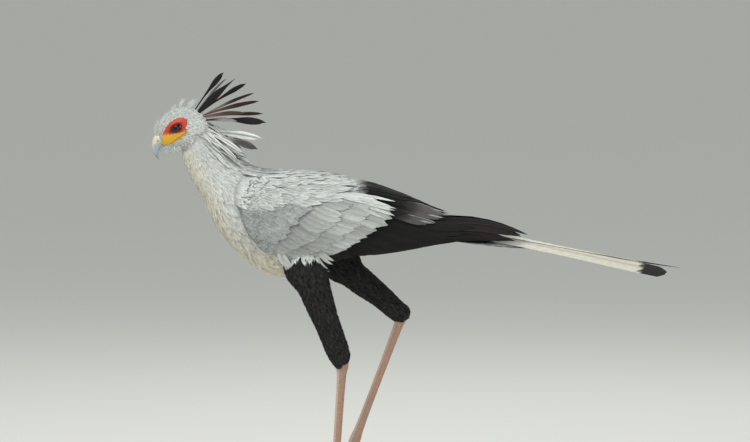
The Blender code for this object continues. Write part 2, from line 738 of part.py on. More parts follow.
def lid_ring(name, eye_spot, side):
    """The rim of the lids: an oval ring round the visible part of an eye."""
    mesh = bmesh.new()
    middle = eye_spot + Vector((0, side * LID_OUT, 0))
    rows = []
    for k in range(LID_SIDES):
        turn = 2 * math.pi * k / LID_SIDES
        out = Vector((math.cos(turn), 0, math.sin(turn)))
        centre = middle + Vector((out.x * LID_LONG, 0, out.z * LID_HIGH))
        row = []
        for j in range(LID_ROUND):
            roll = 2 * math.pi * j / LID_ROUND
            row.append(centre + out * LID_THICK * math.cos(roll) + Vector((0, LID_THICK * math.sin(roll), 0)))
        rows.append([mesh.verts.new(point) for point in row])
    for near, far in zip(rows, rows[1:] + rows[:1]):
        for j in range(LID_ROUND):
            after = (j + 1) % LID_ROUND
            mesh.faces.new((near[j], near[after], far[after], far[j]))
    return finish_mesh(name, mesh)


def below_surface(thing, x, z, side):
    """The outside of a thing at a side-view point: its Y on one side of the middle plane."""
    hit, spot, _, _ = thing.ray_cast(Vector((x, side * 0.2, z)), Vector((0, -side, 0)))
    return spot.y if hit else 0.0


def groove(name, thing, line, width, depth, side):
    """A cutter that follows a line on one side of a thing and stands in its surface by a depth."""
    rings = []
    points = [Vector((x, 0, z)) for x, z in line]
    for i, point in enumerate(points):
        ahead = (points[min(i + 1, len(points) - 1)] - points[max(i - 1, 0)]).normalized()
        rise = Vector((-ahead.z, 0, ahead.x)) * width / 2
        face = below_surface(thing, point.x, point.z, side)
        deep = Vector((0, face - side * depth, 0))
        clear = Vector((0, face + side * 0.004, 0))
        rings.append([point + deep - rise, point + deep + rise, point + clear + rise, point + clear - rise])
    return loft(name, rings)


def base_ring(height, inset):
    """One outline of the oval base at a height, drawn in by an inset."""
    ring = []
    for k in range(BASE_SIDES):
        turn = 2 * math.pi * k / BASE_SIDES
        x = BASE_CENTRE[0] + (BASE_HALF[0] - inset) * math.cos(turn)
        y = BASE_CENTRE[1] + (BASE_HALF[1] - inset) * math.sin(turn)
        ring.append(Vector((x, y, height)))
    return ring


def cut_away(thing, cutter):
    boolean(thing, "DIFFERENCE", cutter)
    bpy.data.objects.remove(cutter)
    keep_largest(thing)


clear_scene()
parts = new_collection("secretary bird")
cutters = new_collection("cutters")
grey = material("plumage_grey", GREY, 0.8)
white = material("plumage_white", WHITE, 0.8)
black = material("plumage_black", BLACK, 0.6)
horn = material("bill_horn", HORN, 0.35)
pink = material("shank_scales", PINK, 0.55)
brown = material("eye", EYE_BROWN, 0.08)
dark = material("claw_horn", CLAW_DARK, 0.35)
stone = material("base_stone", STONE, 0.7)

# Trunk and neck in one, kept whole as the form that everything else is cut back from.
trunk = loft("trunk", [side_ring(row, 18) for row in through(flat(TRUNK), 2)])

# Thighs, cut back from the trunk.
thighs = {}
for side, table in (("left", STANCE_THIGH), ("right", SWING_THIGH)):
    thigh = loft("thigh_" + side, [side_ring(row, 14) for row in through(flat(table), 2)])
    carve(thigh, trunk)
    paint(thigh, black)
    thighs[side] = thigh

# Wings: the arm with its tiers of feathers, mirrored, then cut back from trunk and thighs.
wing_left = make_arm()
wing_left.name = "wing_left"
fuse(wing_left, [blade for row in ROWS for blade in wing_row(row)])
wing_right = mirrored(wing_left, "wing_right")
for wing, side in ((wing_left, "left"), (wing_right, "right")):
    carve(wing, trunk, thighs[side])
    paint(wing, grey)

# Shanks and feet. The left foot stands on the floor, the right one hangs in the swing.
down_ahead = Vector((-math.cos(SWING_PITCH), 0, -math.sin(SWING_PITCH)))
up_ahead = Vector((-math.sin(SWING_PITCH), 0, math.cos(SWING_PITCH)))
level = (Vector((-1, 0, 0)), Vector((0, 0, 1)), Vector((0, -1, 0)))
stance = (STANCE_ANKLE, STANCE_FOOT, *level, 1.0, 0.0, 0.0)
drooping = (down_ahead, up_ahead, Vector((0, 1, 0)))
swing = (SWING_ANKLE, SWING_FOOT, *drooping, SWING_SPREAD, SWING_CURL, SWING_FOLD)
for side, (ankle, joint, *pose) in (("left", stance), ("right", swing)):
    foot = make_foot(side, joint, *pose)
    shank = tube_along("shank_" + side, ankle, joint, SHANK, Vector((-1, 0, 0)), 14)
    carve(shank, foot, thighs[side])
    paint(shank, pink)
    paint(foot, pink)
for thing in list(parts.objects):
    if thing.name.startswith(("foot_left", "claw_left")):
        cut_flat(thing, 0.0)

# The bill, cut back from the head, and its lower half from the upper one.
head = loft("head", [side_ring(row, 16) for row in through(flat(HEAD), 2)])
bill_upper = loft("bill_upper", [side_ring(row, 12) for row in through(flat(UPPER_BILL), 2)])
bill_lower = loft("bill_lower", [side_ring(row, 10) for row in through(flat(LOWER_BILL), 2)])
carve(bill_upper, head)
carve(bill_lower, head, bill_upper)
for side in (-1, 1):
    opening = Vector((NOSTRIL.x, side * NOSTRIL.y, NOSTRIL.z))
    slit = ball("nostril", opening, NOSTRIL_RADIUS, 6, 10, NOSTRIL_SHAPE)
    cut_away(bill_upper, slit)
paint(bill_upper, horn)
paint(bill_lower, horn)

# Head: skull, lids and brow in one, with sockets for the eyes and the line of the gape.
face_pieces = []
for side in (-1, 1):
    eye_spot = Vector((EYE.x, side * EYE.y, EYE.z))
    ahead, out, rise = BROW_OFFSET
    brow = ball("brow", eye_spot + Vector((ahead, side * out, rise)), BROW_RADIUS, 5, 8, BROW_SHAPE)
    lid = lid_ring("lid", eye_spot, side)
    face_pieces += [brow, lid]
crest = [free_vane("crest", *row) for row in CREST]
fuse(head, face_pieces + crest)
for side in (-1, 1):
    cut_away(head, groove("gape", head, GAPE, GAPE_WIDTH, GAPE_DEPTH, side))
for side, name in ((-1, "eye_left"), (1, "eye_right")):
    eye = ball(name, Vector((EYE.x, side * EYE.y, EYE.z)), EYE_RADIUS, 8, 14)
    carve(head, eye)
    paint(eye, brown)

# Head and neck part along one plane; the trunk parts into neck, breast, belly and rump.
head, spare = part_in_two(head, NECK_CUT, "head", "spare")
bpy.data.objects.remove(spare)
spare, trunk = part_in_two(trunk, NECK_CUT, "spare", "trunk")
bpy.data.objects.remove(spare)
neck, trunk = part_in_two(trunk, NECK_SPLIT, "neck", "trunk")
breast, trunk = part_in_two(trunk, BREAST_SPLIT, "breast", "trunk")
belly, tail = part_in_two(trunk, TAIL_SPLIT, "belly", "tail")
fuse(neck, [free_vane("hackle", *row) for row in HACKLES])

# Tail: the rump carries short pairs in layers under two long middle feathers.
feathers = []
for k, (x, y, z, half) in enumerate(TAIL_TIPS):
    for side in (-1, 1):
        root = TAIL_ROOT + Vector((0, side * TAIL_ROOT_SPREAD * (k + 1), -TAIL_LAYER * (k + 0.5)))
        tip = Vector((x, side * y, z))
        feathers.append(free_vane("tail", root, tip, half, -side * TAIL_LEAN, STRAIGHT_STATIONS, (0, 0, 1)))
near, far = LONG_SPREAD
long_pair = ((LONG_LEFT, -1, LONG_LEAN_LEFT, BLUNT), (LONG_RIGHT, 1, LONG_LEAN_RIGHT, POINTED))
for line, side, lean, blade in long_pair:
    offsets = [side * (near + (far - near) * i / (len(line) - 1)) for i in range(len(line))]
    points = through([[x, y, z] for (x, z), y in zip(line, offsets)], 4)
    facing = Matrix.Rotation(math.radians(-side * lean), 3, "X") @ Vector((0, 0, 1))
    run = [(Vector(at(points, share * (len(points) - 1))), facing) for share, _ in blade]
    feathers.append(vane("long", run, blade, LONG_HALF_WIDTH))
fuse(tail, feathers)
carve(tail, wing_left, wing_right)

# The base: the bird is caught on one leg and would tip over without it.
base = loft("stand_base", [base_ring(0.0, BASE_BEVEL), base_ring(BASE_BEVEL, 0.0),
                           base_ring(BASE_THICK - BASE_BEVEL, 0.0), base_ring(BASE_THICK, BASE_BEVEL)])
for thing in parts.objects:
    if thing != base:
        thing.data.transform(Matrix.Translation((0, 0, BASE_THICK + GAP)))
paint(base, stone, 20)
for thing, finish in ((head, grey), (neck, grey), (breast, white), (belly, white), (tail, white)):
    paint(thing, finish)
bpy.data.collections.remove(cutters)
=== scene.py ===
"""The looks of a walking secretary bird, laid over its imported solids.

Metres, +Z up. The bird looks along -X and its left side is at -Y. Forms are given in the side view as
(x, z) over the foot's sole, and `lift` is the height of that sole over the floor.
"""

import json
import math

import bmesh
import bpy
import numpy as np
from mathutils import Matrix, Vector
from mathutils.bvhtree import BVHTree

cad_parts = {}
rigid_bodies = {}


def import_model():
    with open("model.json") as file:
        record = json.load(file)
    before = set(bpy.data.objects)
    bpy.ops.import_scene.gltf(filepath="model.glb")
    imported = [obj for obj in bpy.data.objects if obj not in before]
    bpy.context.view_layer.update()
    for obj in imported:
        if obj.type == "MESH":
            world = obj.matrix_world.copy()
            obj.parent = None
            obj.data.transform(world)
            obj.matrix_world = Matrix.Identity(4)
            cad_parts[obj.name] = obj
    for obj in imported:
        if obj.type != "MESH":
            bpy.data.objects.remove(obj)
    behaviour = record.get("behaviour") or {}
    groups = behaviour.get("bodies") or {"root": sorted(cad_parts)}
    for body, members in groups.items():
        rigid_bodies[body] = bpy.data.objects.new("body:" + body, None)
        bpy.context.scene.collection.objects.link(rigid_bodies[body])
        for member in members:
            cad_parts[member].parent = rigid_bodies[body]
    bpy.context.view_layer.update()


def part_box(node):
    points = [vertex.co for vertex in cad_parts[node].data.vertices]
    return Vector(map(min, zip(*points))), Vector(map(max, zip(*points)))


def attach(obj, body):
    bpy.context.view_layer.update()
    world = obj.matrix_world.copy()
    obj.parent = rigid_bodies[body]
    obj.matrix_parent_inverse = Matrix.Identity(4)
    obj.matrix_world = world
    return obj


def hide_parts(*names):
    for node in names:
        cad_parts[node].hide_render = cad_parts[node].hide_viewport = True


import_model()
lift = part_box("stand_base")[1][2] + 0.0003

# The skin: the bird's flesh from its bill to the root of the tail, with the folded arms and the thighs.
# It is one closed soft sheet wrapped round plain forms, and it lies a few millimetres under the tips of
# the coat. A row of a form holds belly side and back side (x, z), half width, shift and squareness below.
TRUNK = np.array([
    (-0.331, 0.795, -0.277, 0.852, 0.028, 0, 2),
    (-0.329, 0.778, -0.251, 0.815, 0.030, 0, 2),
    (-0.321, 0.754, -0.221, 0.783, 0.033, 0, 2),
    (-0.308, 0.723, -0.192, 0.764, 0.040, 0, 2),
    (-0.288, 0.690, -0.165, 0.755, 0.052, 0, 2),
    (-0.271, 0.648, -0.139, 0.750, 0.066, 0, 2),
    (-0.246, 0.606, -0.108, 0.748, 0.078, 0, 2),
    (-0.205, 0.560, -0.074, 0.743, 0.086, 0, 2),
    (-0.156, 0.524, -0.036, 0.736, 0.087, 0, 2),
    (-0.099, 0.513, 0.002, 0.727, 0.083, 0, 2),
    (-0.033, 0.530, 0.044, 0.712, 0.072, 0, 2),
    (0.030, 0.556, 0.092, 0.696, 0.055, 0, 2),
    (0.095, 0.590, 0.140, 0.676, 0.036, 0, 2),
    (0.170, 0.609, 0.190, 0.661, 0.022, 0, 2),
])
WING = np.array([
    (-0.271, 0.648, -0.139, 0.752, 0.074, 0, 2),
    (-0.246, 0.606, -0.108, 0.751, 0.091, 0, 2),
    (-0.205, 0.560, -0.073, 0.750, 0.101, 0, 2),
    (-0.156, 0.522, -0.033, 0.746, 0.105, 0, 2),
    (-0.099, 0.512, 0.004, 0.740, 0.103, 0, 2),
    (-0.033, 0.527, 0.040, 0.731, 0.096, 0, 2.4),
    (0.026, 0.542, 0.086, 0.723, 0.086, 0, 3),
    (0.086, 0.556, 0.136, 0.705, 0.074, 0, 4),
    (0.147, 0.566, 0.191, 0.683, 0.060, 0, 4),
    (0.213, 0.578, 0.246, 0.661, 0.052, 0, 4),
    (0.290, 0.590, 0.323, 0.650, 0.046, 0, 4),
    (0.360, 0.587, 0.383, 0.632, 0.038, 0, 4),
    (0.425, 0.582, 0.440, 0.606, 0.026, 0, 3),
])
HEAD = np.array([
    (-0.3700, 0.7985, -0.3880, 0.8260, 0.0105, 0, 2),
    (-0.3650, 0.7975, -0.3865, 0.8420, 0.0150, 0, 2),
    (-0.3570, 0.7965, -0.3785, 0.8620, 0.0195, 0, 2),
    (-0.3480, 0.7955, -0.3620, 0.8760, 0.0230, 0, 2),
    (-0.3400, 0.7950, -0.3420, 0.8845, 0.0255, 0, 2),
    (-0.3310, 0.7935, -0.3190, 0.8850, 0.0280, 0, 2),
    (-0.3180, 0.7900, -0.2980, 0.8790, 0.0300, 0, 2),
    (-0.3000, 0.7930, -0.2810, 0.8680, 0.0290, 0, 2),
    (-0.2820, 0.8050, -0.2720, 0.8520, 0.0200, 0, 2),
])
THIGHS = np.array([
    [
        (-0.118, 0.600, -0.005, 0.612, 0.034, -0.052, 2),
        (-0.112, 0.556, -0.012, 0.580, 0.034, -0.054, 2),
        (-0.101, 0.512, -0.014, 0.545, 0.031, -0.054, 2),
        (-0.076, 0.481, -0.008, 0.507, 0.028, -0.049, 2),
        (-0.055, 0.436, 0.003, 0.459, 0.025, -0.042, 2),
        (-0.034, 0.392, 0.0165, 0.4115, 0.022, -0.035, 2),
        (-0.0136, 0.341, 0.034, 0.3595, 0.019, -0.028, 2),
        (-0.002, 0.323, 0.0375, 0.336, 0.016, -0.026, 2),
        (0.0075, 0.311, 0.0290, 0.314, 0.011, -0.025, 2),
    ],
    [
        (-0.085, 0.590, 0.015, 0.650, 0.034, 0.052, 2),
        (-0.050, 0.545, 0.030, 0.605, 0.034, 0.055, 2),
        (-0.008, 0.5035, 0.058, 0.553, 0.031, 0.056, 2),
        (0.025, 0.487, 0.0655, 0.5345, 0.029, 0.054, 2),
        (0.055, 0.466, 0.0915, 0.5115, 0.026, 0.051, 2),
        (0.085, 0.448, 0.1190, 0.4860, 0.023, 0.048, 2),
        (0.1145, 0.4245, 0.1465, 0.4590, 0.020, 0.045, 2),
        (0.1360, 0.4090, 0.1690, 0.4370, 0.017, 0.043, 2),
        (0.1450, 0.4060, 0.1680, 0.4190, 0.012, 0.042, 2),
    ],
])
# The flesh of a folded arm: ring of the wing, then its upper and lower edge in degrees from the back.
ARM = np.array([
    (0.25, 72, 98),
    (0.5, 60, 105),
    (1.0, 38, 112),
    (1.5, 22, 118),
    (2.0, 12, 121),
    (3.0, 4, 126),
    (4.0, 3, 129),
    (5.0, 3, 126),
    (6.0, 3, 116),
    (7.0, 4, 104),
    (7.8, 8, 86),
])
ARM_START, ARM_END = 0.25, 7.8
SKIN_CELL = 0.0036
COAT_DEPTH, FACE_DEPTH, FACE_BACK = 0.0032, 0.0016, -0.27
# Share of the coat's colour given to the skin under it: painted shade in the gaps between the feathers.
SKIN_PAINTED_SHADE = 0.8
SIDES = (("left", -1), ("right", 1))
GREY = np.array((0.46, 0.48, 0.47))
PALE = np.array((0.635, 0.655, 0.63))
CREAM = np.array((0.72, 0.70, 0.60))
WARM = np.array((0.74, 0.68, 0.56))
BLACK = np.array((0.022, 0.021, 0.021))


def unit(v):
    return v / np.maximum(np.linalg.norm(v, axis=-1, keepdims=True), 1e-12)


def read(rows, place):
    """Rows of numbers read at places between them, smoothly."""
    rows, place = np.asarray(rows, float), np.asarray(place, float)
    i = np.clip(np.floor(place).astype(int), 0, len(rows) - 2)
    f = (place - i)[..., None]
    a, b, c, d = (rows[np.clip(i + k, 0, len(rows) - 1)] for k in (-1, 0, 1, 2))
    return b + 0.5 * f * (c - a + f * (2 * a - 5 * b + 4 * c - d + f * (3 * (b - c) + d - a)))


def spot(form, place, turn):
    """Points of a form: ring place and turn round it, 0 on the back and positive on the right side."""
    row = read(form, place)
    low, high, half, shift, square = row[..., 0:2], row[..., 2:4], row[..., 4], row[..., 5], row[..., 6]
    share = np.cos(turn)
    power = np.where(share > 0, 2.0, np.maximum(square, 2.0))
    wide = half * np.sign(np.sin(turn)) * np.maximum(1 - np.abs(share) ** power, 0) ** (1 / power)
    middle = (low + high) / 2 + (high - low) / 2 * share[..., None]
    return np.stack([middle[..., 0], shift + wide, middle[..., 1] + lift], axis=-1)


def lie(form, place, turn):
    """Point, direction down the form and outward normal."""
    step = 0.03
    down = spot(form, place + step, turn) - spot(form, place - step, turn)
    round_ = spot(form, place, turn + step) - spot(form, place, turn - step)
    return spot(form, place, turn), down / (2 * step), unit(np.cross(down, round_))


def find(form, x, z):
    """Ring place and turn from the back of side-view points on a form."""
    first, last = np.full(np.shape(x), -0.6), np.full(np.shape(x), len(form) - 0.6)
    for _ in range(26):
        middle = (first + last) / 2
        row = read(form, middle)
        before = (
            (row[..., 2] - row[..., 0]) * (z - row[..., 1])
            - (row[..., 3] - row[..., 1]) * (x - row[..., 0]) < 0
        )
        first, last = np.where(before, middle, first), np.where(before, last, middle)
    row = read(form, first)
    reach = row[..., 2:4] - row[..., 0:2]
    share = (
        2 * ((x - row[..., 0]) * reach[..., 0] + (z - row[..., 1]) * reach[..., 1]) / (reach**2).sum(-1) - 1
    )
    return first, np.arccos(np.clip(share, -0.99, 0.99))


def ease(a, b, x):
    f = np.clip((x - a) / (b - a), 0, 1)
    return f * f * (3 - 2 * f)


def mix(a, b, f):
    return a + (b - a) * np.asarray(f)[..., None]


def coat_tone(p):
    """The plumage's colour at points of the body, the same on skin and feathers."""
    x, z = p[..., 0], p[..., 2] - lift
    axis_z = np.interp(
        x, (-0.33, -0.27, -0.2, -0.1, 0.0, 0.1, 0.2), (0.80, 0.75, 0.665, 0.63, 0.63, 0.635, 0.635)
    )
    front = ease(0.015, -0.055, (z - axis_z) * 0.75 + (x + 0.27) * ease(-0.10, -0.24, x) * 0.55)
    tone = mix(np.broadcast_to(PALE, p.shape), CREAM, front)
    tone = mix(tone, GREY, ease(0.0, 0.075, z - axis_z) * ease(-0.26, -0.15, x))
    tone = mix(tone, WARM, ease(0.60, 0.535, z) * ease(-0.22, -0.14, x) * 0.8)
    black = ease(-0.050, -0.020, x + (z - 0.53) * 0.35) * ease(0.700, 0.640, z)
    thigh = ease(0.516, 0.504, z)
    back = ease(0.030, 0.060, x) * ease(0.60, 0.64, z)
    return mix(tone, BLACK, np.clip(black + thigh + back, 0, 1))


def new_mesh(name, points, quads):
    """An object from arrays of points and quads."""
    data = bpy.data.meshes.new(name)
    data.vertices.add(len(points))
    data.vertices.foreach_set("co", np.asarray(points, np.float32).ravel())
    data.loops.add(quads.size)
    data.loops.foreach_set("vertex_index", quads.astype(np.int32).ravel())
    data.polygons.add(len(quads))
    data.polygons.foreach_set("loop_start", np.arange(len(quads), dtype=np.int32) * quads.shape[1])
    data.update(calc_edges=True)
    made = bpy.data.objects.new(name, data)
    bpy.context.scene.collection.objects.link(made)
    return made


def grid_quads(rows, columns, closed=True):
    """Quads between neighbouring points of a grid, wrapped round its columns when closed."""
    r, c = np.meshgrid(np.arange(rows - 1), np.arange(columns if closed else columns - 1), indexing="ij")
    d = (c + 1) % columns
    here, below = r * columns, (r + 1) * columns
    return np.stack([here + c, here + d, below + d, below + c], -1).reshape(-1, 4)


def tube(name, rings):
    """A closed tube through rings of points, its ends capped by fans."""
    rows, columns, _ = rings.shape
    points = np.concatenate([rings.reshape(-1, 3), rings[:1].mean(1), rings[-1:].mean(1)])
    quads = grid_quads(rows, columns)
    made = new_mesh(name, points, quads)
    mesh = bmesh.new()
    mesh.from_mesh(made.data)
    mesh.verts.ensure_lookup_table()
    start, end = mesh.verts[rows * columns], mesh.verts[rows * columns + 1]
    for k in range(columns):
        mesh.faces.new((start, mesh.verts[(k + 1) % columns], mesh.verts[k]))
        last = (rows - 1) * columns
        mesh.faces.new((end, mesh.verts[last + k], mesh.verts[last + (k + 1) % columns]))
    bmesh.ops.recalc_face_normals(mesh, faces=mesh.faces)
    mesh.to_mesh(made.data)
    mesh.free()
    made.data.shade_smooth()
    return made


def round_grid(places, sides):
    """Places down a tube and turns round it, as two grids."""
    return np.meshgrid(places, np.linspace(0, 2 * np.pi, sides, endpoint=False), indexing="ij")


def sleeve(name, form, rings=60, sides=48):
    """A form of flesh as a closed tube."""
    return tube(name, spot(form, *round_grid(np.linspace(0, len(form) - 1.0, rings), sides)))


def arm(side):
    """The flesh of a folded wing under its coverts."""
    place = np.linspace(ARM_START, ARM_END, 50)[:, None]
    top, low = (np.interp(place, ARM[:, 0], ARM[:, k]) for k in (1, 2))
    share = np.linspace(0, 1, 16)[None, :]
    turn = np.radians(top + (low - top) * share) * side
    p, _, n = lie(WING, np.broadcast_to(place, turn.shape), turn)
    swell = np.sin(np.pi * (0.12 + 0.76 * share))[..., None]
    outer, inner = p - n * 0.004, p - n * (0.004 + 0.014 * swell)
    return tube("arm", np.concatenate([outer, inner[:, ::-1]], axis=1))


def per_vertex(thing, label="co"):
    """A mesh's points or normals as an array."""
    flat = np.empty(len(thing.data.vertices) * 3, np.float32)
    thing.data.vertices.foreach_get(label, flat)
    return flat.reshape(-1, 3)


def one_skin(pieces, name, cell, calm=0):
    """Pieces of flesh joined and wrapped in one closed sheet, which is then calmed a few times."""
    flesh = {"active_object": pieces[0], "object": pieces[0]}
    with bpy.context.temp_override(selected_editable_objects=pieces, selected_objects=pieces, **flesh):
        bpy.ops.object.join()
    made = pieces[0]
    made.name = name
    wrap = made.modifiers.new("one skin", "REMESH")
    wrap.mode = "VOXEL"
    wrap.voxel_size = cell
    if calm:
        made.modifiers.new("calm", "SMOOTH").iterations = calm
    graph = bpy.context.evaluated_depsgraph_get()
    data = bpy.data.meshes.new_from_object(made.evaluated_get(graph))
    made.modifiers.clear()
    made.data = data
    return made


def solid_uv(thing, margin=0.01):
    """A bake map for a smooth closed piece, from its own shape."""
    for other in bpy.data.objects:
        other.select_set(other == thing)
    bpy.context.view_layer.objects.active = thing
    bpy.ops.object.mode_set(mode="EDIT")
    bpy.ops.mesh.select_all(action="SELECT")
    bpy.ops.uv.smart_project(angle_limit=math.radians(66), island_margin=margin)
    bpy.ops.object.mode_set(mode="OBJECT")
    thing.data.uv_layers[0].name = "OFBake"


def node(tree, kind, links=(), **values):
    """A shader node with its values set, its inputs fed by (input name or number, socket)."""
    made = tree.nodes.new("ShaderNode" + kind)
    for key, value in values.items():
        setattr(made, key, value)
    for key, source in links:
        if isinstance(source, bpy.types.NodeSocket):
            tree.links.new(source, made.inputs[key])
        else:
            made.inputs[key].default_value = source
    return made


def shared(name, inputs):
    """An empty group of shader nodes that gives a shade and a height, with its entry and its exit."""
    made = bpy.data.node_groups.new(name, "ShaderNodeTree")
    for label, kind in inputs:
        made.interface.new_socket(label, in_out="INPUT", socket_type="NodeSocket" + kind)
    for label in ("Shade", "Height"):
        made.interface.new_socket(label, in_out="OUTPUT", socket_type="NodeSocketFloat")
    return made, made.nodes.new("NodeGroupInput"), made.nodes.new("NodeGroupOutput")


def surface_of(name, **surface):
    """A new material, its nodes and its shader. An input is named with low lines for its spaces."""
    made = bpy.data.materials.new(name)
    made.use_nodes = True
    shader = made.node_tree.nodes["Principled BSDF"]
    for label, value in surface.items():
        shader.inputs[label.replace("_", " ")].default_value = value
    return made, made.node_tree, shader


def coloured(name, group, values, relief, depth, **surface):
    """A material in the piece's own colours, with a shade and a fine relief from a shared group."""
    made, tree, shader = surface_of(name, **surface)
    colour = node(tree, "Attribute", attribute_name="coat")
    where = node(tree, "Attribute", attribute_name="vein")
    use = tree.nodes.new("ShaderNodeGroup")
    use.node_tree = group
    tree.links.new(where.outputs["Vector"], use.inputs[0])
    for label, value in values.items():
        use.inputs[label].default_value = value
    tinted = node(
        tree, "VectorMath", [(0, colour.outputs["Color"]), ("Scale", use.outputs["Shade"])],
        operation="SCALE"
    )
    bump = node(
        tree, "Bump", [("Height", use.outputs["Height"]), ("Strength", relief), ("Distance", depth)]
    )
    tree.links.new(tinted.outputs[0], shader.inputs["Base Color"])
    tree.links.new(bump.outputs[0], shader.inputs["Normal"])
    return made


def plumage(name, roughness, depth, shine):
    """A feather finish, from how rough it is, how deep its barbs show and how much it shines."""
    return coloured(
        name, barbs, {"Depth": depth}, 0.6, 0.0006, Roughness=roughness, Specular_IOR_Level=shine
    )


# What all plumage shares: barbs that slant from a shaft, as a shade and a height.
barbs, entry, leave = shared("barbs", (("Vein", "Vector"), ("Depth", "Float")))
parts_of = node(barbs, "SeparateXYZ", [(0, entry.outputs["Vein"])])
side_way = node(barbs, "Math", [(0, parts_of.outputs[1])], operation="ABSOLUTE")
slant = node(barbs, "Math", [(0, parts_of.outputs[0]), (1, side_way.outputs[0])], operation="SUBTRACT")
ripple = node(barbs, "Math", [(0, slant.outputs[0]), (1, 7.0)], operation="MULTIPLY")
wave = node(barbs, "Math", [(0, ripple.outputs[0])], operation="SINE")
drawn_out = node(
    barbs, "VectorMath", [(0, entry.outputs["Vein"]), (1, (0.16, 1.0, 1.0))], operation="MULTIPLY"
)
clump = node(barbs, "TexNoise", [("Vector", drawn_out.outputs[0]), ("Scale", 0.60), ("Detail", 3.0)])
shaft = node(barbs, "MapRange", [(0, side_way.outputs[0]), (1, 0.0), (2, 0.35), (3, 1.0), (4, 0.0)])
rough = node(
    barbs, "Math", [(0, wave.outputs[0]), (1, 0.16), (2, clump.outputs[0])], operation="MULTIPLY_ADD"
)
height = node(
    barbs, "Math", [(0, shaft.outputs[0]), (1, 0.8), (2, rough.outputs[0])], operation="MULTIPLY_ADD"
)
fade = node(barbs, "Math", [(0, rough.outputs[0]), (1, 0.5)], operation="SUBTRACT")
shade = node(
    barbs, "Math", [(0, fade.outputs[0]), (1, entry.outputs["Depth"]), (2, 1.0)], operation="MULTIPLY_ADD"
)
barbs.links.new(shade.outputs[0], leave.inputs["Shade"])
barbs.links.new(height.outputs[0], leave.inputs["Height"])
soft = plumage("soft plumage", 0.9, 0.75, 0.12)


def dress(made, tones, vein, uv, quads, material):
    """Colour, barb and bake maps of a feather mesh, its material, and its parent body."""
    data = made.data
    data.color_attributes.new("coat", "FLOAT_COLOR", "POINT")
    rgba = np.concatenate([np.clip(tones, 0, 1), np.ones((len(tones), 1))], axis=1)
    data.color_attributes["coat"].data.foreach_set("color", rgba.astype(np.float32).ravel())
    data.attributes.new("vein", "FLOAT_VECTOR", "POINT")
    data.attributes["vein"].data.foreach_set("vector", vein.astype(np.float32).ravel())
    if uv is not None:
        layer = data.uv_layers.new(name="OFBake")
        layer.data.foreach_set("uv", uv[quads.ravel()].astype(np.float32).ravel())
    data.materials.append(material)
    data.shade_smooth()
    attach(made, "root")


flesh = [sleeve("trunk", TRUNK), sleeve("skull", HEAD)]
flesh += [sleeve("thigh", form) for form in THIGHS] + [arm(-1), arm(1)]
skin = one_skin(flesh, "skin", SKIN_CELL, calm=4)
points, outward = per_vertex(skin), per_vertex(skin, "normal")
tone = coat_tone(points)
depth = np.where(points[:, 0] < FACE_BACK, FACE_DEPTH, COAT_DEPTH)
skin.data.vertices.foreach_set("co", (points - outward * depth[:, None]).astype(np.float32).ravel())
skin.data.update()
skin.data.shade_smooth()
solid_uv(skin, 0.002)
for form, (_, way) in zip(THIGHS, SIDES):
    place, turn = find(form, points[:, 0], points[:, 2] - lift)
    outer = (turn > math.radians(12)) & (turn < math.radians(168)) & (points[:, 1] * way > 0.045)
    tone = mix(tone, BLACK, (place > 0.3) & outer)
# The skin takes the coat's colour darkened: painted shade where it shows between the feathers.
dress(skin, tone * SKIN_PAINTED_SHADE, np.zeros((len(points), 3)), None, None, soft)
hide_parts("head", "neck", "breast", "belly", "thigh_left", "thigh_right")

# The body coat: feathers of the neck, breast and belly, slender on the neck and broader down the body.
# Each is a thin blade of horn with a soft edge. They are rooted in the skin in staggered rows and lie
# over each other towards the tail. Fine loose barbs stand a little off them and soften the outline.
LANCE = ((0, 0.5), (0.35, 1.0), (0.7, 0.85), (0.9, 0.5), (1, 0.12))
WING_MARGIN = 9
skin_tree = BVHTree.FromPolygons(
    [v.co for v in skin.data.vertices], [p.vertices for p in skin.data.polygons]
)
sheet = np.empty(len(skin.data.loops) * 2, np.float32)
skin.data.uv_layers["OFBake"].data.foreach_get("uv", sheet)
starts = np.empty(len(skin.data.polygons), np.int32)
skin.data.polygons.foreach_get("loop_start", starts)
patch = sheet.reshape(-1, 2)[starts]


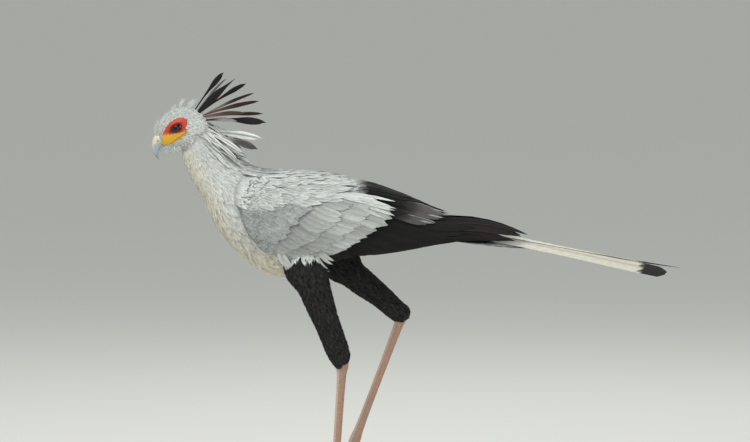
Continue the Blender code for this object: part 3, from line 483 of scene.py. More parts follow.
def blades(
    name, lines, normals, half, shape, tones, material, slot, seed, columns=3, cup=0.15, tilt=0.0,
    blunt=0.8, fray=0.0, on_skin=True, t=None
):
    """One mesh of many feathers along centre lines: `shape` holds (share of length, share of half width)."""
    rng = np.random.default_rng(seed)
    count, steps, _ = lines.shape
    t, c = np.linspace(0, 1, steps) if t is None else t, np.linspace(-1, 1, columns)
    half = np.broadcast_to(np.asarray(half, float), (count,))[:, None]
    ahead = unit(np.gradient(lines, axis=1))
    across = unit(np.cross(normals, ahead))
    up = np.cross(ahead, across)
    lean = np.broadcast_to(np.asarray(tilt, float), (count,))[:, None, None]
    across, up = across * np.cos(lean) + up * np.sin(lean), up * np.cos(lean) - across * np.sin(lean)
    wide = half * np.interp(t, [s for s, _ in shape], [w for _, w in shape])
    run = np.linalg.norm(np.diff(lines, axis=1), axis=2).sum(1)[:, None]
    recede = blunt * half[..., None] * c**2 * t[:, None] ** 4
    recede = recede + fray * run[..., None] * rng.random((count, 1, columns)) * t[:, None] ** 5
    points = lines[:, :, None] + across[:, :, None] * (wide[..., None] * c)[..., None]
    points = (
        points - up[:, :, None] * (cup * wide[..., None] * c**2)[..., None]
        - ahead[:, :, None] * recede[..., None]
    )
    tones = np.broadcast_to(tones, (count, steps, columns, 3)).reshape(-1, 3)
    vein = np.empty((count, steps, columns, 3))
    vein[..., 0] = (run * t)[..., None] * 1000
    vein[..., 1] = wide[..., None] * c * 1000
    vein[..., 2] = rng.random((count, 1, 1)) * 90
    first = (np.arange(count) * steps * columns)[:, None, None]
    quads = (grid_quads(steps, columns, closed=False)[None] + first).reshape(-1, 4)
    if on_skin:
        corner = patch[[skin_tree.find_nearest(Vector(p))[2] for p in lines[:, 0]]]
        uv = corner[:, None, None] + np.stack(
            np.broadcast_arrays(c * 0.0015, (t[:, None] - 0.5) * 0.003), -1
        )
    else:
        size = int(math.ceil(math.sqrt(count)))
        cell = np.stack([np.arange(count) % size, np.arange(count) // size], -1) / size
        uv = (
            cell[:, None, None]
            + np.stack(np.broadcast_arrays(c * 0.45 + 0.5, t[:, None] * 0.94 + 0.03), -1) / size
        )
    made = new_mesh(name, points.reshape(-1, 3), quads)
    dress(made, tones, vein.reshape(-1, 3), uv.reshape(-1, 2), quads, material)
    return made


def lay(form, start, end, gap, seed, showing=None):
    """Staggered roots over a form, a gap apart that may change down it: their places, turns and gaps."""
    rng = np.random.default_rng(seed)
    place, rows, odd = start, [], 0
    turns = np.linspace(0, 2 * np.pi, 48)
    while place < end:
        ring = spot(form, np.full(48, place), turns)
        step = float(np.interp(place, [g[0] for g in gap], [g[1] for g in gap]))
        count = max(int(np.linalg.norm(np.diff(ring, axis=0), axis=1).sum() / step), 5)
        turn = (np.arange(count) + odd * 0.5 + rng.uniform(-0.35, 0.35, count)) / count * 2 * np.pi
        down = lie(form, np.full(count, place), turn)[1]
        speed = np.linalg.norm(down, axis=1)
        speed = np.maximum(speed, 0.4 * np.median(speed))
        rows.append(
            np.stack([place + rng.uniform(-0.35, 0.35, count) * step / speed, turn, np.full(count, step)])
        )
        place += 0.8 * step / max(np.percentile(speed, 70), 1e-3)
        odd = 1 - odd
    place, turn, gap = np.concatenate(rows, axis=1)
    keep = np.ones(len(gap), bool) if showing is None else showing(place, turn)
    return place[keep], turn[keep], gap[keep]


def down_lines(form, place, turn, length, drift, sunk, rise, steps=5):
    """Centre lines of feathers that run down a form from roots under its surface to lifted tips."""
    count, t = len(place), np.linspace(0, 1, steps)
    drift, rise = rng.normal(0, drift, count), rng.uniform(*rise, count)
    sunk = np.broadcast_to(sunk, (count,))
    speed = np.linalg.norm(lie(form, place, turn)[1], axis=1)
    speed = np.maximum(speed, 0.4 * np.median(speed))
    places = place[:, None] + (length / speed)[:, None] * t
    turns = turn[:, None] + drift[:, None] * t
    p, _, n = lie(form, np.clip(places, -0.9, len(form) - 0.85), turns)
    level = -sunk[:, None] + (sunk + rise)[:, None] * t**0.8
    return p + n * level[..., None], n


def uncovered(place, turn):
    """Roots on the trunk that neither the folded wing nor a thigh hides."""
    p = spot(TRUNK, place, turn)
    x, z = p[:, 0], p[:, 2] - lift
    ring, angle = find(WING, x, z)
    top, low = (np.interp(ring, ARM[:, 0], ARM[:, k], left=90, right=90) for k in (1, 2))
    angle = np.degrees(angle)
    under_wing = (ring > 0.4 + WING_MARGIN / 20) & (ring < 7.6)
    under_wing = under_wing & (angle > top + WING_MARGIN) & (angle < low - WING_MARGIN)
    for form, (_, way) in zip(THIGHS, SIDES):
        ring, angle = find(form, x, z)
        angle = np.degrees(angle)
        under_thigh = (ring > 0) & (ring < 7) & (angle > 16) & (angle < 164) & (p[:, 1] * way > 0.02)
        under_wing = under_wing | under_thigh
    return ~under_wing


def vary(base, amount, steps, columns, edge=0.0, tip=0.0, count=None):
    """Feather colours round a base: each feather a little lighter or darker, with paler edges and tips, and
    painted shade towards its root.
    """
    base = base if count is None else np.broadcast_to(base, (count, 3))
    t, c = np.linspace(0, 1, steps)[:, None], np.abs(np.linspace(-1, 1, columns))[None, :]
    light = 1 + rng.normal(0, amount, (len(base), 1, 1))
    # The last factor darkens each feather towards its root: painted shade under the feathers that lie over
    # it.
    light = light * (1 + edge * c**2 * t) * (1 + tip * t**3) * (0.62 + 0.38 * np.minimum(t * 1.5, 1))
    return np.clip(base[:, None, None] * light[..., None], 0, 1)


rng = np.random.default_rng(4)
gaps = ((0, 0.0038), (3, 0.0048), (5, 0.0068), (8, 0.0080), (13, 0.0076))
place, turn, gap = lay(TRUNK, -0.8, 12.9, gaps, 11, uncovered)
slender = np.interp(place, (0, 4, 6.5), (1.0, 0.9, 0.0))
length = gap * rng.uniform(4.2, 5.6, len(gap)) * (1 + 0.6 * slender)
lines, normals = down_lines(TRUNK, place, turn, length, 0.06, gap * 0.35, (0.0, 0.0020))
tones = vary(coat_tone(lines[:, 2]), 0.07, 5, 3, 0.04, 0.06)
half = gap * (0.74 - 0.30 * slender)
blades(
    "body_coat", lines, normals, half, LANCE, tones, soft, "plumage_grey", 12, cup=0.3, blunt=0.4, fray=0.12
)

place, turn, gap = lay(TRUNK, -0.8, 11.5, ((0, 0.0036), (5, 0.0058), (12, 0.0070)), 13, uncovered)
length = rng.uniform(0.010, 0.024, len(gap))
lines, normals = down_lines(TRUNK, place, turn, length, 0.09, gap * 0.3, (0.0004, 0.0024))
tones = vary(coat_tone(lines[:, 2]), 0.08, 5, 2, 0.0, 0.10)
blades(
    "loose_barbs", lines, normals, 0.00032, LANCE, tones, soft, "plumage_grey", 14, columns=2, cup=0,
    fray=0.1
)

# The thighs: short black feathers like velvet, rooted in the skin from the flank down to the ankles.
# They are soft to the root and lie close, so the leg keeps the shape of its muscle. White lances of the flank
# hang over the top of each thigh, longer and loose, and end there in points.
velvet = plumage("black plumage", 0.85, 0.40, 0.08)


def off_flank(way):
    """A test of a thigh's roots that leaves out those under the lances of its outer side."""
    return lambda place, turn: (place > 0.9) | (np.sin(turn) * way <= 0.5)


for (side, way), form in zip(SIDES, THIGHS):
    place, turn, gap = lay(form, 0.1, 7.9, ((0, 0.0052), (8, 0.0040)), 21, off_flank(way))
    length = gap * rng.uniform(2.6, 4.0, len(gap))
    lines, normals = down_lines(form, place, turn, length, 0.10, gap * 0.4, (0.0, 0.0022), 4)
    tones = vary(BLACK * 1.5, 0.25, 4, 3, count=len(gap))
    blades(
        "thigh_coat_" + side, lines, normals, gap * 0.55, LANCE, tones, velvet, "plumage_black", 22,
        cup=0.25, blunt=0.5, fray=0.12
    )
FLANK_LANCES = 110
for (side, way), form in zip(SIDES, THIGHS):
    place = rng.uniform(0.0, 0.9, FLANK_LANCES)
    turn = way * np.radians(rng.uniform(35, 165, FLANK_LANCES))
    length = rng.uniform(0.020, 0.042, FLANK_LANCES)
    lines, normals = down_lines(form, place, turn, length, 0.12, 0.003, (0.0014, 0.0040), 7)
    tones = vary(PALE * 1.08, 0.08, 7, 3, 0.05, 0.05, count=FLANK_LANCES)
    blades(
        "thigh_lances_" + side, lines, normals, 0.0036, LANCE, tones, soft, "plumage_white", 23, cup=0.25,
        fray=0.12
    )

# The back between the wings: soft grey feathers down to the loins, each a blade over the next lower one.
# They are rooted along the spine, on the form that the wings lie on, so that they close the gap between.
def near_spine(place, turn):
    """Roots on the wings' form that are close enough to the spine to show between the wings."""
    widest = np.interp(place, (0, 1, 3, 9), (80, 70, 62, 66))
    return np.abs((turn + np.pi) % (2 * np.pi) - np.pi) < np.radians(widest)


place, turn, gap = lay(WING, 0.2, 8.3, ((0, 0.0085), (4, 0.0095), (9, 0.0085)), 25, near_spine)
length = gap * rng.uniform(4.4, 6.0, len(gap))
lines, normals = down_lines(WING, place, turn, length, 0.05, 0.004 + gap * 0.3, (-0.0030, -0.0010))
tones = vary(coat_tone(lines[:, 2]), 0.07, 5, 3, 0.06, 0.08)
blades("back_coat", lines, normals, gap * 0.52, LANCE, tones, soft, "plumage_grey", 26, cup=0.25, fray=0.12)

# Folded wings: tiers of feathers laid on the wing's form like roof tiles, each over the next lower one.
# Black quills of horn stand in the bone of the arm, broad pale coverts lie over their roots, and small
# ones close the bend of the wing. The left wing is made, and the right one is the same turned over.
def along(line, share):
    """Points at shares of the length of a bent line in the side view."""
    line = np.array(line)
    run = np.concatenate([[0], np.cumsum(np.hypot(*np.diff(line, axis=0).T))])
    return np.stack([np.interp(share, run / run[-1], line[:, k]) for k in (0, 1)], -1)


def to_tip(steps):
    """Shares of a feather's length that crowd towards its tip."""
    return 1 - (1 - np.linspace(0, 1, steps)) ** 1.7


def fan(count, roots, tips, lifts, bow, seed, scatter=0.003):
    """Centre lines and normals of one tier on the left wing, from its first feather to its last."""
    rng = np.random.default_rng(seed)
    share = np.linspace(0, 1, count)
    root, tip = along(roots, share), along(tips, share) + rng.normal(0, scatter, (count, 2))
    (s0, a0), (s1, a1) = find(WING, root[:, 0], root[:, 1]), find(WING, tip[:, 0], tip[:, 1])
    t = to_tip(STEPS)
    place = s0[:, None] + (s1 - s0)[:, None] * t
    turn = a0[:, None] + (a1 - a0)[:, None] * t + bow * 4 * t * (1 - t)
    p, _, n = lie(WING, place, -turn)
    level = lifts[0] + (lifts[1] - lifts[0]) * np.minimum(t * 1.5, 1)
    level = level[None] + rng.uniform(-0.0004, 0.0004, (count, 1))
    return p + n * level[..., None], n


def tier(name, side, lines, normals, half, shape, tones, material, slot, seed, columns=5, lean=5, **cut):
    """One tier of feathers at the left wing, or turned over for the right one, its blades leant a little."""
    way = -1 if side == "left" else 1
    flip = np.array((1, -way, 1))
    tilt = way * math.radians(lean)
    return blades(
        name + "_" + side, lines * flip, normals * flip, half, shape, tones, material, slot, seed,
        columns=columns, tilt=tilt, t=to_tip(STEPS), **cut
    )


def oval(narrow, full, tip):
    """A blade that widens from its root to `full`, then rounds off: shares of length and half width."""
    arc = np.linspace(0, np.pi / 2, 9)
    return [(0, narrow), (full * 0.5, 0.85)] + [
        (full + (1 - full) * math.sin(a), max(math.cos(a), tip)) for a in arc
    ]


def covert_tone(x, z):
    """Grey of the wing coverts: palest in the middle, bluer and darker towards the leading edge below,
    painted shadow under the scapulars.
    """
    front = ease(0.02, -0.15, x - (z - 0.62) * 0.5)
    low = ease(0.67, 0.58, z)
    tone = mix(np.broadcast_to(PALE * 0.90, x.shape + (3,)), GREY * 0.84, 0.85 * front)
    tone = mix(tone, GREY * 0.88, 0.55 * low)
    under = np.interp(x, (-0.190, -0.073, 0.042), (0.655, 0.681, 0.6875)) - z
    # A darker band just under the lower edge of the scapulars: painted shadow of their overhanging tips.
    tone = mix(tone, GREY * 0.72, 0.6 * ease(0.030, 0.006, under) * ease(-0.004, 0.004, under))
    return mix(tone, PALE * 0.97, ease(-0.002, -0.012, under) * ease(-0.10, -0.14, x))


glossy = plumage("flight plumage", 0.70, 0.40, 0.05)
QUILL = ((0, 0.35), (0.15, 0.8), (0.5, 1.0), (0.85, 0.85), (0.95, 0.6), (1, 0.2))
SCAPULAR = ((0, 0.45), (0.30, 0.85), (0.60, 1.0), (0.80, 0.80), (0.92, 0.48), (1, 0.14))
COVERT, LONG_COVERT = oval(0.4, 0.72, 0.12), oval(0.35, 0.86, 0.12)
GREATER_TIPS = (
    (0.1364, 0.6560), (0.1340, 0.6413), (0.1210, 0.6281), (0.0990, 0.6193), (0.0759, 0.6061),
    (0.0528, 0.5907), (0.0242, 0.5742), (-0.0154, 0.5643), (-0.0500, 0.5560)
)
SECONDARY_TIPS = (
    (0.3150, 0.6230), (0.2794, 0.5960), (0.2059, 0.5800), (0.1500, 0.5705), (0.0638, 0.5660),
    (0.0100, 0.5540)
)
STEPS = 11
LONG_TIPS = ((0.098, 0.668), (0.088, 0.645), (0.050, 0.620), (0.010, 0.594), (-0.060, 0.566))
MEDIAN_TIPS = ((0.048, 0.676), (0.020, 0.640), (-0.030, 0.605), (-0.095, 0.572))
WING_EDGE = np.array(
    (
        (-0.182, 0.7300), (-0.2000, 0.7000), (-0.2035, 0.6600), (-0.1990, 0.6350), (-0.1860, 0.6080),
        (-0.1640, 0.5850), (-0.1350, 0.5710), (-0.1000, 0.5600), (-0.0700, 0.5480)
    )
)
SMALL_ROWS, EDGE_ROWS, SCAPULAR_ROWS, IN_SCAPULAR_ROW = 13, 4, 9, 16
SHOULDER_BEND = (0.006, 0.003, 0.0, 0.0, 0.0, 0.0)
WEB_GREY, WORN_BROWN, FRAYED_GREY = (0.22, 0.20, 0.19), (0.045, 0.032, 0.026), (0.110, 0.105, 0.102)
for side, _ in SIDES:
    seen = 4 if side == "left" else 0
    # Black quills: outer primaries, secondaries and the long inner tertials that meet over the back.
    tiers = (
        (
            "primaries", 9, ((0.030, 0.655), (0.030, 0.620)),
            ((0.432, 0.603), (0.385, 0.592), (0.322, 0.590)), (-0.014, -0.003), 0.0110, 0.0
        ),
        (
            "secondaries", 17, ((0.010, 0.700), (-0.060, 0.600)), SECONDARY_TIPS, (-0.011, -0.002), 0.0130,
            0.02
        ),
        (
            "tertials", 9, ((0.004, 0.7330), (0.010, 0.722), (0.020, 0.690)),
            ((0.165, 0.6945), (0.178, 0.688), (0.196, 0.664), (0.215, 0.640)), (-0.009, -0.0008), 0.0130,
            0.02
        ),
    )
    for k, (label, count, roots, tips, lifts, half, bow) in enumerate(tiers):
        lines, normals = fan(count, roots, tips, lifts, bow, 32 + k)
        tones = vary(BLACK, 0.15, STEPS, 5, count=count)
        if label == "tertials":
            tones[2::3, 3:, seen] = WEB_GREY
        if label == "primaries":
            tones[:2, :, 4 - seen] = WORN_BROWN
        wing = tier(
            label, side, lines, normals, half, QUILL, tones, glossy, "plumage_black", 33 + k, cup=0.12,
            blunt=1.2, fray=0.02, on_skin=False
        )
    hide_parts("wing_" + side)
    # Frayed quills with grey and white edges behind the tertials.
    lines, normals = fan(
        9, ((0.080, 0.700), (0.080, 0.672)), ((0.262, 0.6560), (0.250, 0.6440), (0.215, 0.6360)),
        (-0.004, 0.0010), 0.0, 36, 0.006
    )
    tones = vary(BLACK, 0.2, STEPS, 5, count=9)
    tones = mix(tones, np.array(FRAYED_GREY), ease(0.50, 0.75, to_tip(STEPS))[:, None] * np.ones((1, 5)))
    tones[:, 5:, seen] = GREY * 0.9
    tones[::3, 7:, 2] = GREY
    tier(
        "frayed_quills", side, lines, normals, 0.0065, QUILL, tones, soft, "plumage_black", 37, blunt=1.0,
        fray=0.09, on_skin=False
    )
    # Greater, long and median coverts, broad and pale grey, then rows of small ones up to the bend.
    tiers = [
        (
            "greater_coverts", 17, ((0.010, 0.697), (-0.050, 0.640), (-0.112, 0.588)), GREATER_TIPS,
            (-0.005, 0.0020), 0.0120, 0.02, LONG_COVERT
        ),
        (
            "long_coverts", 13, ((-0.020, 0.706), (-0.080, 0.640), (-0.128, 0.596)), LONG_TIPS,
            (-0.005, 0.0026), 0.0118, 0.02, LONG_COVERT
        ),
        (
            "median_coverts", 14, ((-0.045, 0.712), (-0.100, 0.655), (-0.150, 0.615)), MEDIAN_TIPS,
            (-0.004, 0.0028), 0.0108, 0.02, COVERT
        ),
    ]
    for k in range(SMALL_ROWS):
        f = k / (SMALL_ROWS - 1)
        roots = (
            (-0.055 - 0.130 * f, 0.716 + 0.008 * f), (-0.118 - 0.091 * f, 0.666 + 0.014 * f),
            (-0.160 - 0.040 * f, 0.612 + 0.028 * f)
        )
        size = 0.050 - 0.026 * f
        shift = (size * 0.95, size * -0.45)
        tips = [(x + shift[0], z + shift[1]) for x, z in roots]
        tiers.append(
            (
                "small_coverts_%02d" % k, 18 + k, roots, tips, (-0.0035, 0.0022 - 0.0010 * f),
                0.0078 - 0.0026 * f, 0.0, COVERT
            )
        )
    for k in range(EDGE_ROWS):
        roots = WING_EDGE + np.array((0.006, 0.003)) * (EDGE_ROWS - 1 - k)
        tips = roots + np.array((0.024, -0.009))
        tiers.append(
            (
                "edge_coverts_%d" % k, 42, roots, tips, (-0.0040, 0.0014 + 0.0003 * (EDGE_ROWS - 1 - k)),
                0.0052, 0.0, COVERT
            )
        )
    for k, (label, count, roots, tips, lifts, half, bow, shape) in enumerate(tiers):
        lines, normals = fan(
            count, roots, tips, lifts, bow, 40 + k, 0.0015 if label.startswith("edge") else 0.0026
        )
        middle = lines[:, 6]
        tones = vary(covert_tone(middle[:, 0], middle[:, 2] - lift), 0.10, STEPS, 5, 0.12, 0.10)
        tones[:, 2:, 2] *= 0.80
        tier(
            label, side, lines, normals, half, shape, tones, soft, "plumage_grey", 50 + k, cup=0.16,
            blunt=0.7, fray=0.035
        )
    # Ragged white feathers along the upper edge of the greater coverts and under the wing's front.
    plumes = (
        (
            "pale_lances", 14, ((-0.020, 0.712), (0.012, 0.690)),
            ((0.070, 0.6900), (0.112, 0.6750), (0.146, 0.6600), (0.128, 0.6480)), (-0.003, 0.0036), 0.0046,
            0.0
        ),
        (
            "flank_plumes", 30, ((-0.125, 0.590), (-0.085, 0.578), (-0.040, 0.583)),
            ((-0.100, 0.545), (-0.070, 0.521), (-0.048, 0.516), (-0.018, 0.529), (-0.004, 0.552)),
            (-0.006, 0.0090), 0.0046, 0.0
        ),
    )
    for k, (label, count, roots, tips, lifts, half, bow) in enumerate(plumes):
        lines, normals = fan(count, roots, tips, lifts, bow, 66 + k, 0.006)
        tones = vary(PALE * 1.06, 0.06, STEPS, 3, 0.05, 0.05, count=count)
        tier(
            label, side, lines, normals, half, LANCE, tones, soft, "plumage_white", 68 + k, columns=3,
            cup=0.25, blunt=0.4, fray=0.10
        )
    # Neck feathers that lie over the front edge of the wing, from the shoulder down.
    for k, bend in enumerate(SHOULDER_BEND):
        count = 44
        share = np.linspace(0, 1, count)
        root = (
            along(((-0.200, 0.7440), (-0.2140, 0.7150), (-0.2180, 0.6800)), share)
            + np.array((0.0085, -0.001)) * k
        )
        tip = root + np.array((0.030, -0.013)) + rng.normal(0, 0.006, (count, 2))
        place, turn = find(TRUNK, root[:, 0], root[:, 1])
        p, _, n = lie(TRUNK, place, -turn)
        start = p - n * 0.002
        place, turn = find(WING, tip[:, 0], tip[:, 1])
        p, _, n = lie(WING, place, -turn)
        finish = p + n * (0.0036 + 0.0004 * (5 - k))
        t = to_tip(STEPS)[None, :, None]
        lines = start[:, None] + (finish - start)[:, None] * t + n[:, None] * bend * 4 * t * (1 - t)
        normals = np.broadcast_to(n[:, None], lines.shape)
        tones = vary(mix(coat_tone(start), PALE, 0.55 + 0.05 * k), 0.07, STEPS, 5, 0.06, 0.06)
        tier(
            "shoulder_cape_%d" % k, side, lines, normals, 0.0036, LANCE, tones, soft, "plumage_grey",
            60 + k, lean=0, cup=0.2, blunt=0.5, fray=0.12
        )
    # Scapulars over the shoulder and the inner wing, with darker shafts.
    for k in range(SCAPULAR_ROWS):
        f = k / (SCAPULAR_ROWS - 1)
        root_a, root_b = (-0.165 + 0.130 * f, 0.7460 - 0.0110 * f), (-0.172 + 0.110 * f, 0.690 + 0.010 * f)
        tip_a, tip_b = (-0.110 + 0.150 * f, 0.7425 - 0.0135 * f), (-0.128 + 0.168 * f, 0.6700 + 0.0200 * f)
        tip_m = (tip_a[0] * 0.5 + tip_b[0] * 0.5 + 0.006, tip_a[1] * 0.5 + tip_b[1] * 0.5)
        lines, normals = fan(
            IN_SCAPULAR_ROW, (root_a, root_b), (tip_a, tip_m, tip_b), (-0.003, 0.0028), 0.0, 70 + k, 0.0065
        )
        tones = vary(PALE * 0.94, 0.08, STEPS, 5, 0.06, 0.06, count=IN_SCAPULAR_ROW)
        tones[:, 2:8, 2] *= 0.70
        half = np.linspace(0.0042, 0.0074, IN_SCAPULAR_ROW)
        tier(
            "scapulars_%d" % k, side, lines, normals, half, SCAPULAR, tones, soft, "plumage_grey", 80 + k,
            cup=0.16, blunt=0.6, fray=0.09
        )

# The tail: ten short dark feathers in layers under two long middle ones with black tips. Each is a flat
# blade on a stiff shaft of horn, rooted in the tail bone and laid over the next like a roof. Pale lances
# above and black down below cover the roots.
LONG_LEFT = np.array(((0.120, 0.6480), (0.300, 0.6130), (0.520, 0.5680), (0.734, 0.5220)))
LONG_RIGHT = np.array(((0.120, 0.6500), (0.300, 0.6150), (0.520, 0.5725), (0.767, 0.5300)))
BLUNT = ((0, 0.55), (0.30, 0.88), (0.62, 0.82), (0.86, 1.0), (0.97, 0.95), (1, 0.55))
POINTED = ((0, 0.55), (0.30, 0.90), (0.62, 0.85), (0.82, 0.80), (0.93, 0.40), (1, 0.10))
BLACK_FROM = 0.678
steps = 90
WORN_GREY_BROWN = np.array((0.34, 0.30, 0.24))
for (side, way), run, lean, shape in (
    (SIDES[0], LONG_LEFT, 32, BLUNT), (SIDES[1], LONG_RIGHT, 10, POINTED)
):
    t, c = np.linspace(0, 1, steps)[:, None], np.linspace(-1, 1, 7)[None]
    xz = read(run, t[:, 0] * 3)
    y = way * (0.004 + 0.012 * t[:, 0])
    lines = np.stack([xz[:, 0], y, xz[:, 1] + lift], -1)[None]
    lean = math.radians(lean)
    normals = np.broadcast_to(np.array((0, way * math.sin(lean), math.cos(lean))), lines.shape)
    x = xz[:, :1] + 0.006 * np.sin(c * 7)
    dark = ease(BLACK_FROM - 0.002, BLACK_FROM + 0.002, x)
    tones = mix(np.broadcast_to(CREAM * 0.88, (steps, 7, 3)), PALE * 0.95, ease(0.50, 0.30, x))
    tones = mix(tones, WORN_GREY_BROWN, 0.55 * ease(0.30, 0.0, np.abs(c)) * ease(0.30, 0.52, x))
    tones = mix(tones, BLACK * 1.3, np.clip(dark + ease(0.245, 0.215, x), 0, 1))
    blades(
        "long_tail_feather_" + side, lines, normals, 0.0205, shape, tones[None], soft, "plumage_white",
        80 + way, columns=7, cup=0.12, blunt=0.3, fray=0.004, on_skin=False
    )
TAIL_TIPS = (
    (0.458, 0.008, 0.5745, 0.0165), (0.436, 0.011, 0.5760, 0.0160), (0.412, 0.014, 0.5780, 0.0150),
    (0.386, 0.016, 0.5810, 0.0140), (0.352, 0.017, 0.5850, 0.0130)
)
roots, tips, halves, ways = [], [], [], []
for k, (x, y, z, half) in enumerate(TAIL_TIPS):
    for way in (-1, 1):
        roots.append((0.120, way * 0.0022 * (k + 1), 0.636 - 0.0034 * (k + 0.5) + lift))
        tips.append((x, way * y, z + lift))
        halves.append(half)
        ways.append(way)
roots, tips = np.array(roots), np.array(tips)
t = np.linspace(0, 1, 24)[None, :, None]
lines = roots[:, None] + (tips - roots)[:, None] * t
TAIL_LEAN = math.radians(24)
normals = (
    np.array([(0, w * math.sin(TAIL_LEAN), math.cos(TAIL_LEAN)) for w in ways])[:, None]
    + np.zeros((1, 24, 1))
)
tones = np.broadcast_to(BLACK * 1.2, (len(roots), 24, 5, 3))
white_edge = ease(0.68, 0.74, t) * ease(0.90, 0.84, t) * (
    np.array(ways)[:, None, None] * np.linspace(-1, 1, 5) > 0.4
)
tones = mix(tones, PALE, white_edge)
tones = mix(tones, CREAM, ease(0.965, 0.975, t) * np.ones((1, 1, 5)) * 0.6)
STRAIGHT = ((0, 0.6), (0.5, 1.0), (0.88, 0.9), (1, 0.35))
tail = blades(
    "tail_feathers", lines, normals, np.array(halves), STRAIGHT, tones, soft, "plumage_black", 84,
    columns=5, cup=0.12, blunt=1.0, fray=0.02, on_skin=False
)
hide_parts("tail")
ROUND = ((0, 0.5), (0.4, 1.0), (0.8, 0.92), (0.93, 0.65), (1, 0.25))
TAIL_ROOT = (0.10, 0.19)
for label, count, above, tone_of in (
    ("upper_tail_coverts", 90, 1, PALE * 0.92), ("under_tail_coverts", 80, -1, BLACK)
):
    share = rng.uniform(0, 1, count)
    spread = rng.uniform(-1, 1, count)
    x = 0.100 + 0.075 * share
    centre_z, half_z, half_y = (
        np.interp(x, TAIL_ROOT, ends) for ends in ((0.640, 0.632), (0.040, 0.018), (0.034, 0.020))
    )
    z = centre_z + above * half_z * np.sqrt(1 - spread**2) + lift - above * 0.004
    root = np.stack([x, half_y * spread, z], -1)
    length = rng.uniform(0.060, 0.115, count)
    aim = np.stack([np.ones(count), -0.12 * spread, -0.19 - above * 0.10 + rng.normal(0, 0.02, count)], -1)
    t = np.linspace(0, 1, 8)[None, :, None]
    lines = (
        root[:, None] + unit(aim)[:, None] * length[:, None, None] * t
        + np.array((0, 0, above * 0.10)) * length[:, None, None] * t**2
    )
    outward = np.stack([np.zeros(count), spread, above * np.sqrt(1 - spread**2) + 0.05 * above], -1)
    normals = unit(outward)[:, None] + np.zeros((1, 8, 1))
    tones = vary(tone_of, 0.08, 8, 3, 0.05, 0.05, count=count)
    blades(
        label, lines, normals, 0.0072, ROUND, tones, soft if above > 0 else velvet, "plumage_white",
        86 + above, cup=0.25, fray=0.06
    )

# The face: bare skin round each eye, red above and yellow below, in one soft sheet on each side that runs
# from the rim of the lids out to the first feathers. It has fine creases, a swollen brow and the line of
# the mouth, and it follows the ball of the eye inside and the skull outside.
EYE = np.array((-0.3430, 0.0185, 0.8395))
EYE_RADIUS = 0.0105
FACE = np.array([
    (-0.3764, 0.8240),
    (-0.3707, 0.8345),
    (-0.3639, 0.8470),
    (-0.3505, 0.8575),
    (-0.3392, 0.8633),
    (-0.3258, 0.8633),
    (-0.3203, 0.8560),
    (-0.3236, 0.8431),
    (-0.3228, 0.8310),
    (-0.3320, 0.8230),
    (-0.3440, 0.8140),
    (-0.3600, 0.8040),
    (-0.3715, 0.8010),
    (-0.3745, 0.8120),
])
face_turn = np.arctan2(FACE[:, 1] - EYE[2], FACE[:, 0] - EYE[0])
face_reach = np.hypot(FACE[:, 1] - EYE[2], FACE[:, 0] - EYE[0])
face_order = np.argsort(face_turn)


def face_edge(x, z):
    """How far the bare face reaches from the eye's middle towards points of the side view."""
    return np.interp(
        np.arctan2(z - EYE[2], x - EYE[0]), face_turn[face_order], face_reach[face_order], period=2 * np.pi
    )


SLIT_LONG, SLIT_HIGH, SLIT_SLOPE = 0.0088, 0.0066, math.radians(24)
RED = np.array((0.60, 0.050, 0.014))
ORANGE = np.array((0.78, 0.20, 0.015))
YELLOW = np.array((0.80, 0.46, 0.020))
LASH_BLACK = np.array((0.02, 0.012, 0.010))
MAROON_SKIN_AND_SHADE = np.array((0.10, 0.012, 0.008))
bare_skin, tree, shader = surface_of(
    "bare face", Roughness=0.5, Subsurface_Weight=0.12, Subsurface_Radius=(0.004, 0.0015, 0.0008),
    Subsurface_Scale=1.0
)
colour = node(tree, "Attribute", attribute_name="coat")
where = node(tree, "Attribute", attribute_name="vein")
folds = node(tree, "TexNoise", [("Vector", where.outputs["Vector"]), ("Scale", 0.9), ("Detail", 4.0)])
grain = node(tree, "TexVoronoi", [("Vector", where.outputs["Vector"]), ("Scale", 1.3)])
relief = node(
    tree, "Math", [(0, grain.outputs["Distance"]), (1, 0.5), (2, folds.outputs[0])],
    operation="MULTIPLY_ADD"
)
bump = node(tree, "Bump", [("Height", relief.outputs[0]), ("Strength", 0.5), ("Distance", 0.0006)])
tree.links.new(colour.outputs["Color"], shader.inputs["Base Color"])
tree.links.new(bump.outputs[0], shader.inputs["Normal"])
SHEET_ROWS, SHEET_SIDES = 34, 120
turn = np.linspace(-np.pi, np.pi, SHEET_SIDES, endpoint=False)
share = np.linspace(0, 1, SHEET_ROWS)
slit_x, slit_z = SLIT_LONG * np.cos(turn), SLIT_HIGH * np.sin(turn)
rim_x = slit_x * math.cos(SLIT_SLOPE) - slit_z * math.sin(SLIT_SLOPE)
rim_z = slit_x * math.sin(SLIT_SLOPE) + slit_z * math.cos(SLIT_SLOPE)
rim_turn = np.arctan2(rim_z, rim_x)
rim_reach = np.hypot(rim_x, rim_z)
reach = rim_reach + (face_edge(EYE[0] + rim_x, EYE[2] + rim_z) * 1.04 - rim_reach) * share[:, None] ** 1.1
x, z = EYE[0] + reach * np.cos(rim_turn), EYE[2] + reach * np.sin(rim_turn)
place, down = find(HEAD, x, z)
face_y = np.abs(spot(HEAD, place, down)[..., 1])
ball_y = EYE[1] + np.sqrt(np.maximum(EYE_RADIUS**2 - (x - EYE[0]) ** 2 - (z - EYE[2]) ** 2, 0))
s = share[:, None]
lid = np.exp(-(((s - 0.10) / 0.07) ** 2)) * 0.0016
creases = 0.00035 * np.sin(s * 46 + 1.4 * np.sin(rim_turn * 2)) * ease(0.12, 0.3, s) * ease(1.0, 0.7, s)
brow = 0.0034 * np.exp(-(((s - 0.42) / 0.22) ** 2)) * ease(0.25, 0.9, np.sin(rim_turn - 0.35))
